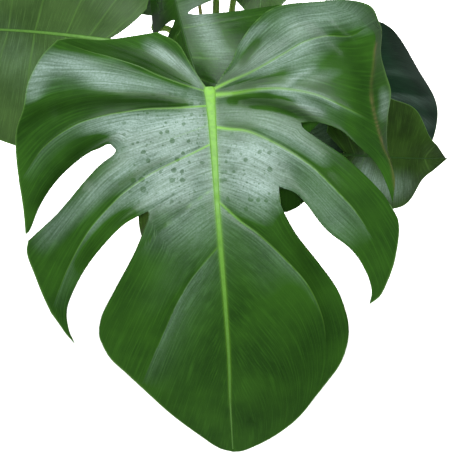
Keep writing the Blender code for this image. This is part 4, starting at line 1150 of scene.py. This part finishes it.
def crumbs(name, count, small, large, flat, seed, finishes):
    """Crumbs on the soil: icosahedra, stretched and turned at random and half sunk into its top."""
    rng = np.random.default_rng(seed)
    g = (1 + 5**0.5) / 2
    rectangle = [(-1, g, 0), (1, g, 0), (-1, -g, 0), (1, -g, 0)]
    corners = unit(np.vstack([np.roll(rectangle, k, axis=1) for k in range(3)]))
    near = np.linalg.norm(corners[:, None] - corners, axis=-1) < 1.1
    sides = [s for s in combinations(range(12), 3) if near[np.ix_(s, s)].all()]
    sides = np.array([s if np.linalg.det(corners[list(s)]) > 0 else s[::-1] for s in sides])
    chips = flat < 0.4
    radius = (pot_inner_radius(SOIL_LEVEL) - 0.004) * np.sqrt(rng.uniform(0.035, 1, count))
    turn = rng.uniform(0, math.tau, count)
    size = small * (large / small) ** rng.uniform(0, 1, count)
    shape = size[:, None] * rng.uniform((0.7, 0.5, flat), (1.3, 0.9, flat * 1.6), (count, 3))
    tumbled = np.linalg.qr(rng.normal(size=(count, 3, 3)))[0]
    tilt = rng.normal(0, 0.35, (count, 2))
    first = unit(np.stack([np.cos(turn * 3), np.sin(turn * 3), tilt[:, 0]], -1))
    second = unit(np.stack([-np.sin(turn * 3), np.cos(turn * 3), tilt[:, 1]], -1))
    level = np.stack([first, second, np.cross(first, second)], 1)
    rough = corners * rng.uniform(0.75, 1.15, (count, 12, 1))
    local = np.einsum("nvk,nkj->nvj", rough * shape[:, None], level if chips else tumbled)
    x, y = radius * np.cos(turn), radius * np.sin(turn)
    place = np.stack([x, y, soil_height(x, y) + size * (0.1 if chips else 0.2)], -1)
    points = (local + place[:, None]).reshape(-1, 3)
    faces = (sides + 12 * np.arange(count)[:, None, None]).reshape(-1, 3)
    tone = np.repeat(rng.uniform(0, 1, count), 12)
    return mesh_object(name, points, [faces], finishes, None, {"shade": tone}, 30)


def add(tree, kind, inputs=None, output=0, **settings):
    """Add a shader node with its settings. An input is a value, or the output of another node to link.
    It gives back one output of the node."""
    made = tree.nodes.new("ShaderNode" + kind)
    for key, value in settings.items():
        setattr(made, key, value)
    for key, value in (inputs or {}).items():
        if isinstance(value, bpy.types.NodeSocket):
            tree.links.new(value, made.inputs[key])
        else:
            made.inputs[key].default_value = value
    return made.outputs[output] if made.outputs else None


def begun(name):
    """An empty node material, its tree and the place on the object."""
    made = bpy.data.materials.new(name)
    made.use_nodes = True
    made.node_tree.nodes.clear()
    return made, made.node_tree, add(made.node_tree, "TexCoord", output="Object")


def finished(tree, bumps, **inputs):
    """End a material: bumps of (height, depth in metres, strength) one on the other, and the shader."""
    for height, depth, strength in bumps:
        bump = {"Height": height, "Distance": depth, "Strength": strength}
        if "Normal" in inputs:
            bump["Normal"] = inputs["Normal"]
        inputs["Normal"] = add(tree, "Bump", bump)
    named = {key.replace("_", " "): value for key, value in inputs.items()}
    add(tree, "OutputMaterial", {"Surface": add(tree, "BsdfPrincipled", named)})


def shade(colour, factor=1.0):
    """A colour made darker or lighter by a factor, with full alpha."""
    return (*[min(1.0, c * factor) for c in colour], 1.0)


def painted(tree, base, *layers):
    """Colours laid over a base one after another: base (1 - share) + colour share."""
    for share, colour in layers:
        base = add(tree, "Mix", {0: share, 6: base, 7: colour}, 2, data_type="RGBA")
    return base


def leaf_skin(kind):
    """The upper skin of a leaf: green tissue under a clear wax. The wax gives the soft gloss. Over the
    green
    lies painted light: a pale bluish painted sheen where its marks are above zero, and painted shade, a
    darker green, where they are below zero.

    Fine veins run with the laterals, 1.4 mm apart. Dried drops are 1 to 6 mm across. The skin's
    cells are drawn 1.6 mm wide, coarser than they are, so that they show.
    """
    _, deep, light, vein, rough, wax, drops = SKINS[kind]
    looks = bpy.context.scene.plant_looks
    deep, light, vein = (getattr(looks, key) for key in (deep, light, vein))
    made, tree, place = begun(f"{kind}_leaf_skin")
    leafmap = add(tree, "Attribute", output="Vector", attribute_name="leafmap")
    marks = {key: add(tree, "Attribute", output="Fac", attribute_name=key) for key in MARKS}
    stretched = add(tree, "Mapping", {"Vector": leafmap, "Scale": (1 / 0.0014, 1 / 0.030, 1.0)})
    threads = add(tree, "TexNoise", {"Vector": stretched, "Scale": 1.0, "Detail": 3.0})
    clouds = add(tree, "TexNoise", {"Vector": place, "Scale": 1 / 0.035, "Detail": 4.0})
    grain = add(tree, "TexNoise", {"Vector": place, "Scale": 1 / 0.0016, "Detail": 3.0})
    cells = add(tree, "TexVoronoi", {"Vector": place, "Scale": 1 / 0.0016})

    facing = add(tree, "Mapping", {"Vector": place, "Rotation": (VIEW_ELEVATION - math.pi / 2, 0, 0)})
    ragged = add(tree, "TexNoise", {"Vector": place, "Scale": 1 / 0.004, "Detail": 2.0}, "Color")
    shifted = add(tree, "Mix", {0: 0.0016, 4: facing, 5: ragged}, 1, data_type="VECTOR")
    drop = 0.0
    for spacing, least, most in DROPS:
        cell = add(tree, "TexVoronoi", {"Vector": shifted, "Scale": 1 / spacing}, voronoi_dimensions="2D")
        size = add(tree, "MapRange", {0: cell.node.outputs["Color"], 3: least, 4: most})
        inside = add(tree, "Math", {0: size, 1: cell}, operation="SUBTRACT")
        spot = add(tree, "MapRange", {0: inside, 2: 0.05, 4: drops})
        drop = add(tree, "Math", {0: spot, 1: drop}, operation="MAXIMUM")
    drop = add(tree, "Math", {0: drop, 1: marks["wet"]}, operation="MULTIPLY")

    # Each of these maps a pattern from its first two numbers to its last two.
    across = add(tree, "SeparateXYZ", {0: leafmap}, 1)
    ranged = {key: add(tree, "MapRange", dict(enumerate(row))) for key, row in {
        "green": (clouds, 0.35, 0.65, 0, 1),
        "threads": (threads, 0.48, 0.75, 0, 0.42),
        "streaks": (threads, 0.30, 0.68, 0.48, 1.25),
        "patches": (clouds, 0.30, 0.70, 0.80, 1.15),
        "grains": (grain, 0.30, 0.68, 0.72, 1.18),
        "film": (marks["film"], 0, 1, 0, 1),
        "washed": (drop, 0, 1, 1.0, 0.40),
        # clean is the share of the painted shade, a darker green, where film is below zero.
        "clean": (marks["film"], -1, 0, 0.8, 0),
        "old": (across, 0, 0.045, 0, 1),
        "margin": (marks["margin"], 0.25, 0.85, 0, 0.5),
        "rough": (clouds, 0.3, 0.7, rough - 0.04, rough + 0.05),
        "wax": (drop, 0, 1, wax, 0),
        "shine": (marks["film"], -0.7, 0, 0.1, 1),
    }.items()}
    # The painted sheen: the pale colour where film is above zero, broken by streaks, patches and grains,
    # and less on the dried drops.
    painted_sheen = ranged["film"]
    for key in ("streaks", "patches", "grains", "washed"):
        painted_sheen = add(tree, "Math", {0: painted_sheen, 1: ranged[key]}, operation="MULTIPLY")
    waxed = add(tree, "Math", {0: ranged["wax"], 1: ranged["shine"]}, operation="MULTIPLY")
    young = shade(looks.midrib_base if drops else vein)
    tissue = painted(tree, young, (ranged["old"], shade(vein)))
    # The green, with the painted sheen and the darker painted shade laid over it, then veins, margin and
    # brown ridge.
    green = painted(tree, shade(deep), (ranged["green"], shade(light)),
                    (ranged["threads"], shade(light, 1.9)), (painted_sheen, shade(looks.film)),
                    (ranged["clean"], shade(deep, 0.25)), (marks["vein"], tissue),
                    (ranged["margin"], shade(looks.rim_green)), (marks["rust"], shade(looks.rust_brown)))
    finished(tree, [(cells, 0.00012, 0.35), (threads, 0.00035, 0.6)], Base_Color=green,
             Roughness=ranged["rough"], IOR=1.45, Specular_IOR_Level=0.05,
             Coat_Weight=waxed, Coat_Roughness=rough - 0.12, Coat_IOR=1.5)
    return made


def leaf_underside(name, colour, vein):
    """The underside of a leaf: paler and dull, without the wax, with the veins standing out. Its fine
    veins are 1.6 mm apart."""
    made, tree, place = begun(name)
    veins = add(tree, "Attribute", output="Fac", attribute_name="vein")
    leafmap = add(tree, "Attribute", output="Vector", attribute_name="leafmap")
    stretched = add(tree, "Mapping", {"Vector": leafmap, "Scale": (1 / 0.0016, 1 / 0.040, 1.0)})
    threads = add(tree, "TexNoise", {"Vector": stretched, "Scale": 1.0, "Detail": 2.0})
    clouds = add(tree, "TexNoise", {"Vector": place, "Scale": 1 / 0.02, "Detail": 4.0})
    green = painted(tree, shade(colour), (clouds, shade(colour, 1.5)), (veins, shade(vein)))
    finished(tree, [(threads, 0.0004, 0.6)], Base_Color=green, Roughness=0.55, IOR=1.42)
    return made


def rib_tissue(name, base, tip, rough=0.34, side=None):
    """Midrib and stalk tissue: smooth and slightly glossy, yellow-green at the base and greener towards
    the tip, with mottling 2 mm wide. Its sides can take the blade's green."""
    made, tree, place = begun(name)
    along = add(tree, "Attribute", output="Fac", attribute_name="along")
    streaks = add(tree, "TexNoise", {"Vector": place, "Scale": 1 / 0.0035, "Detail": 3.0})
    streak = add(tree, "MapRange", {0: streaks, 1: 0.4, 2: 0.7, 4: 0.30})
    colour = painted(tree, shade(base), (along, shade(tip)), (streak, shade(tip, 0.55)))
    if side is not None:
        flank = add(tree, "Attribute", output="Fac", attribute_name="flank")
        colour = painted(tree, colour, (flank, shade(side)))
    finished(tree, [(streaks, 0.0002, 0.4)], Base_Color=colour, Roughness=rough, IOR=1.45)
    return made


def stem_bark(name, green, brown):
    """The stem's skin: green and smooth, with a corky brown ring at each node and scurf 3 mm wide."""
    made, tree, place = begun(name)
    ring = add(tree, "Attribute", output="Fac", attribute_name="along")
    noise = add(tree, "TexNoise", {"Vector": place, "Scale": 1 / 0.006, "Detail": 5.0})
    scurf = add(tree, "MapRange", {0: noise, 1: 0.45, 2: 0.65, 4: 0.55})
    cork = add(tree, "Math", {0: ring, 1: scurf}, operation="MAXIMUM")
    colour = painted(tree, shade(green), (cork, shade(brown)))
    finished(tree, [(noise, 0.0006, 0.7)], Base_Color=colour, Roughness=0.55, IOR=1.45)
    return made


def root_bark(name, brown):
    """The skin of an aerial root: dry and brown, with fibres 1 mm wide."""
    made, tree, place = begun(name)
    noise = add(tree, "TexNoise", {"Vector": place, "Scale": 1 / 0.002, "Detail": 4.0})
    colour = painted(tree, shade(brown, 0.5), (noise, shade(brown, 1.5)))
    finished(tree, [(noise, 0.0004, 0.8)], Base_Color=colour, Roughness=0.75, IOR=1.45)
    return made


def fired_clay(name, clay, bloom):
    """Unglazed fired clay: matte, with sand grains 0.6 mm wide and a pale bloom of lime in patches."""
    made, tree, place = begun(name)
    grain = add(tree, "TexNoise", {"Vector": place, "Scale": 1 / 0.0012, "Detail": 3.0})
    patches = add(tree, "TexNoise", {"Vector": place, "Scale": 1 / 0.045, "Detail": 6.0, "Roughness": 0.6})
    lime = add(tree, "MapRange", {0: patches, 1: 0.5, 2: 0.72, 4: 0.55})
    colour = painted(tree, shade(clay, 0.78), (grain, shade(clay, 1.15)), (lime, shade(bloom)))
    finished(tree, [(grain, 0.0004, 0.6)], Base_Color=colour, Roughness=0.86, IOR=1.5)
    return made


def peat_mix(name, dark, light, each_its_own=False):
    """Peat and bark crumbs, 1 mm wide: dull and dark. Loose crumbs have a shade each."""
    made, tree, place = begun(name)
    noise = add(tree, "TexNoise", {"Vector": place, "Scale": 1 / 0.0022, "Detail": 5.0})
    own = add(tree, "Attribute", output="Fac", attribute_name="shade") if each_its_own else noise
    colour = painted(tree, shade(dark), (own, shade(light)))
    finished(tree, [(noise, 0.0010, 0.9)], Base_Color=colour, Roughness=0.92, IOR=1.45)
    return made


def studio_paper(name, colour):
    """White background paper: matte, with a very faint tooth, drawn 1 mm wide so that it can show."""
    made, tree, place = begun(name)
    noise = add(tree, "TexNoise", {"Vector": place, "Scale": 1 / 0.002, "Detail": 2.0})
    finished(tree, [(noise, 0.0001, 0.1)], Base_Color=shade(colour), Roughness=0.9, IOR=1.45)
    return made


def colour_setting(label, code, words):
    """A colour property with its default from an sRGB hex value."""
    return bpy.props.FloatVectorProperty(name=label, description=words, default=linear(code), size=3,
                                         min=0.0, max=1.0, subtype="COLOR")


def length_setting(label, metres, words):
    """A length property in metres."""
    return bpy.props.FloatProperty(name=label, description=words, default=metres, min=0.0, max=0.05,
                                   precision=5, subtype="DISTANCE", unit="LENGTH")


def light_setting(label, amount, words, top, unit="POWER"):
    """A property for the power of a lamp in watts, or for the strength of the room's light."""
    return bpy.props.FloatProperty(name=label, description=words, default=amount, min=0.0, max=top,
                                   unit=unit)


class PlantLooks(bpy.types.PropertyGroup):
    """Sizes and colours that change how the plant looks."""

    blade_thickness: length_setting("Blade thickness", 0.0007, "Thickness of a leaf blade")
    column_step: length_setting("Grid step", 0.0018, "Spacing of the blade's grid lines at the margin")
    vein_dip: length_setting("Vein dip", 0.00075, "Depth of the dip that a lateral vein lies in")
    vein_rise: length_setting("Vein rise", 0.00035, "Height of a lateral vein in its dip")
    quilting: length_setting("Quilting", 0.00012, "Height of the soft ribs between the lateral veins")
    leaf_deep: colour_setting("Leaf green", "#264a13", "Darker green of the glossy leaves")
    leaf_light: colour_setting("Leaf light green", "#345f18", "Lighter green of the glossy leaves")
    vein_green: colour_setting("Vein green", "#74a545", "Lateral veins of the glossy leaves")
    rim_green: colour_setting("Margin green", "#6f9a4a", "Thin margin of the leaves")
    rust_brown: colour_setting("Worn ridge", "#7d7048", "Brown line along the fold of the front leaf")
    # The pale colour of the painted sheen, laid on where the film marks are above zero.
    film: colour_setting("Dust film", "#aac0b3", "Film of dust and dried water on the leaves")
    matte_deep: colour_setting("Matte leaf green", "#3c5729", "Darker green of the matte leaves")
    matte_light: colour_setting("Matte leaf light green", "#4d6b35", "Lighter green of the matte leaves")
    grey_deep: colour_setting("Grey leaf green", "#4a6045", "The grey-green leaf")
    # The dark leaf's greens are the leaf green darkened as painted shade.
    dark_deep: colour_setting("Dark leaf green", "#112617", "The dark blue-green leaf")
    dark_light: colour_setting("Dark leaf light green", "#1c3824", "Lighter parts of the dark leaf")
    # The small leaf's olive greens are painted shade with the yellow of painted backlight through the leaf.
    olive_deep: colour_setting("Olive leaf green", "#243a0f", "The small olive leaf")
    olive_light: colour_setting("Olive leaf light green", "#38561b", "Lighter parts of the small leaf")
    under_green: colour_setting("Underside green", "#5d7f45", "Underside of the leaves")
    midrib_base: colour_setting("Midrib base", "#8dd03a", "Midrib next to the stalk")
    midrib_tip: colour_setting("Midrib tip", "#5a8a3a", "Midrib near the tip")
    stalk_base: colour_setting("Stalk base", "#4f6b24", "Leaf stalk at the stem")
    stalk_tip: colour_setting("Stalk tip", "#7d9a3a", "Leaf stalk at the blade")
    new_leaf: colour_setting("New leaf", "#9cc456", "The rolled new leaf")
    new_stalk: colour_setting("New leaf stalk", "#8a5a3c", "The reddish stalk of the rolled leaf")
    clay: colour_setting("Clay", "#b5663f", "Fired clay of the pot")
    lime: colour_setting("Lime bloom", "#d8b9a0", "Pale bloom on the clay")
    peat: colour_setting("Peat", "#2a1d14", "Dark part of the soil")
    bark: colour_setting("Bark chips", "#6b4a30", "Light part of the soil")
    paper: colour_setting("Paper", "#f4f4f2", "The floor")
    key_power: light_setting("Overhead light", 21.0, "Power of the large soft box overhead", 500.0)
    floor_power: light_setting("Floor lights", 48.0, "Power of each soft box behind the plant", 500.0)
    air_strength: light_setting("Room light", 0.18, "Even light from the room", 5.0, "NONE")


class PLANT_OT_front_leaf(bpy.types.Operator):
    """Build the large front leaf: its two half blades, its midrib and its turned edges"""

    bl_idname = "plant.front_leaf"
    bl_label = "Front leaf"

    def execute(self, context):
        looks = context.scene.plant_looks
        skin = leaf_skin("glossy")
        under = leaf_underside("leaf_underside", looks.under_green, looks.vein_green)
        tissue = rib_tissue("midrib_tissue", looks.midrib_base, looks.midrib_tip, 0.34, looks.vein_green)
        for side, ribs, margins, folds, flip in FRONT_HALVES:
            strips = front_half(ribs, margins, folds, flip)
            half = blade(f"front_blade_{side}", strips, looks.blade_thickness, skin, under)
            settle(half, "glossy_leaf", "front_blade")
        settle(front_midrib([tissue]), "glossy_leaf")
        for row in TURNED_EDGES:
            settle(turned_edge(*row, (skin, under)), "glossy_leaf")
        return {"FINISHED"}


class PLANT_OT_other_leaves(bpy.types.Operator):
    """Build the other seven leaves, each a blade and a midrib"""

    bl_idname = "plant.other_leaves"
    bl_label = "Other leaves"

    def execute(self, context):
        looks = context.scene.plant_looks
        under = bpy.data.materials["leaf_underside"]
        light, deep = looks.leaf_light, looks.leaf_deep
        bright = rib_tissue("small_midrib_tissue", looks.vein_green, looks.midrib_tip, 0.34, light)
        dull = rib_tissue("dark_midrib_tissue", light, deep, 0.40)
        skins = {kind: leaf_skin(kind) for kind in SKINS if kind != "glossy"}
        for name, spec in LEAVES.items():
            slot = SKINS[spec["skin"]][0]
            film = LEAF_PAINTED_LIGHT.get(name, ())
            halves = leaf_half(spec, "L", film) + leaf_half(spec, "R", film)
            made = blade(f"{name}_leaf", halves, looks.blade_thickness, skins[spec["skin"]], under)
            settle(made, slot, f"{name}_blade")
            settle(leaf_midrib(name, spec, [dull if name in DULL_MIDRIBS else bright]), slot)
        return {"FINISHED"}


class PLANT_OT_stalks(bpy.types.Operator):
    """Build the leaf stalks, the stem, the aerial roots and the rolled new leaf"""

    bl_idname = "plant.stalks"
    bl_label = "Stalks and stem"

    def execute(self, context):
        looks = context.scene.plant_looks
        stalk = rib_tissue("stalk_tissue", looks.stalk_base, looks.stalk_tip, 0.38)
        young = rib_tissue("new_leaf_tissue", looks.new_stalk, looks.new_leaf, 0.36)
        bark = stem_bark("stem_bark", looks.stalk_base, looks.bark)
        brown = root_bark("root_bark", looks.bark)
        seat = midrib_at(np.array([PETIOLE_PIXEL]))
        ends = {"front": (on_sight_line(seat, front_depth(seat))[0], -view_axes()[2])}
        for name, spec in LEAVES.items():
            _, tip, face = leaf_axes(spec)
            ends[name] = (np.array(spec["attach"]) + tip * PETIOLE_REACH, face)
        for name, (attach, face) in ends.items():
            settle(petiole(name, attach, face, [stalk]), "petiole_skin", f"{name}_petiole")
        settle(rolled_leaf([young]), "young_leaf", "rolled_leaf")
        settle(stem([bark]), "stem_skin", "stem")
        for k in range(len(ROOTS)):
            settle(root(k, [brown]), "root_skin", f"aerial_root_{k + 1}")
        return {"FINISHED"}


class PLANT_OT_pot(bpy.types.Operator):
    """Build the clay pot and the soil in it"""

    bl_idname = "plant.pot"
    bl_label = "Pot and soil"

    def execute(self, context):
        looks = context.scene.plant_looks
        settle(pot([fired_clay("fired_clay", looks.clay, looks.lime)]), "fired_clay", "pot")
        settle(soil([peat_mix("potting_mix", looks.peat, looks.bark)]), "potting_soil", "soil")
        loose = peat_mix("soil_crumb", looks.peat, looks.bark, True)
        for row in CRUMBS:
            settle(crumbs(*row, [loose]), "potting_soil")
        return {"FINISHED"}


class PLANT_OT_stage(bpy.types.Operator):
    """Build the floor, the soft lights and the viewer's camera"""

    bl_idname = "plant.stage"
    bl_label = "Studio"

    def execute(self, context):
        looks = context.scene.plant_looks
        scene = context.scene
        points = [(x * FLOOR_REACH, y * FLOOR_REACH, 0) for x, y in ((-1, -1), (1, -1), (1, 1), (-1, 1))]
        paper = studio_paper("studio_paper", looks.paper)
        floor = mesh_object("floor", points, [np.arange(4)[None]], [paper])
        floor.visible_glossy = False
        right, up, sight = view_axes()
        lens = bpy.data.cameras.new("viewer")
        lens.sensor_width = SENSOR
        lens.lens = SENSOR * EYE_DISTANCE / (PICTURE_PIXELS * PIXEL)
        scene.camera = placed("viewer", lens, (right, up, -sight), picture_centre() - sight * EYE_DISTANCE)
        key = soft_box("overhead_box", *KEY_BOX, looks.key_power)
        key.data.color = KEY_TINT
        floor_only = bpy.data.collections.new("lit_by_floor_boxes")
        floor_only.objects.link(floor)
        for side in (-1, 1):
            place, target = (np.array(point) * (side, 1, 1) for point in FLOOR_BOX[:2])
            wash = soft_box("floor_box", place, target, FLOOR_BOX[2], looks.floor_power)
            wash.visible_glossy = False
            wash.light_linking.receiver_collection = floor_only
        scene.world = bpy.data.worlds.new("studio_air")
        scene.world.use_nodes = True
        air = scene.world.node_tree.nodes["Background"].inputs
        air["Color"].default_value = AIR_TINT
        air["Strength"].default_value = looks.air_strength
        scene.view_settings.view_transform = "Standard"
        return {"FINISHED"}


def placed(name, data, axes, place):
    """A camera or a light with its axes and its place, linked to the scene."""
    made = bpy.data.objects.new(name, data)
    made.matrix_world = Matrix([(*(axis[k] for axis in axes), place[k]) for k in range(3)] + [(0, 0, 0, 1)])
    bpy.context.scene.collection.objects.link(made)
    return made


def soft_box(name, place, target, size, power):
    """A rectangular area light at a place, turned towards a target."""
    data = bpy.data.lights.new(name, "AREA")
    data.shape = "RECTANGLE"
    data.size, data.size_y = size
    data.energy = power
    back = unit(np.array(place) - np.array(target))
    across = unit(np.cross((0.0, 1.0, 0.0), back))
    return placed(name, data, (across, np.cross(back, across), back), place)


class PLANT_PT_looks(bpy.types.Panel):
    """The plant's builders and settings in the 3D view's sidebar"""

    bl_idname = "PLANT_PT_looks"
    bl_label = "Potted plant"
    bl_space_type = "VIEW_3D"
    bl_region_type = "UI"
    bl_category = "Plant"

    def draw(self, context):
        for operator in OPERATORS:
            self.layout.operator(operator.bl_idname)
        for key in PlantLooks.__annotations__:
            self.layout.prop(context.scene.plant_looks, key)


OPERATORS = (PLANT_OT_front_leaf, PLANT_OT_other_leaves, PLANT_OT_stalks, PLANT_OT_pot, PLANT_OT_stage)
CLASSES = (PlantLooks, *OPERATORS, PLANT_PT_looks)


def register():
    """Add the classes and the settings to Blender."""
    for item in CLASSES:
        bpy.utils.register_class(item)
    bpy.types.Scene.plant_looks = bpy.props.PointerProperty(type=PlantLooks)


def unregister():
    """Take them away again."""
    del bpy.types.Scene.plant_looks
    for item in reversed(CLASSES):
        bpy.utils.unregister_class(item)


def main():
    """Build every piece."""
    register()
    bpy.ops.plant.front_leaf()
    bpy.ops.plant.other_leaves()
    bpy.ops.plant.stalks()
    bpy.ops.plant.pot()
    bpy.ops.plant.stage()


if __name__ == "__main__":
    main()
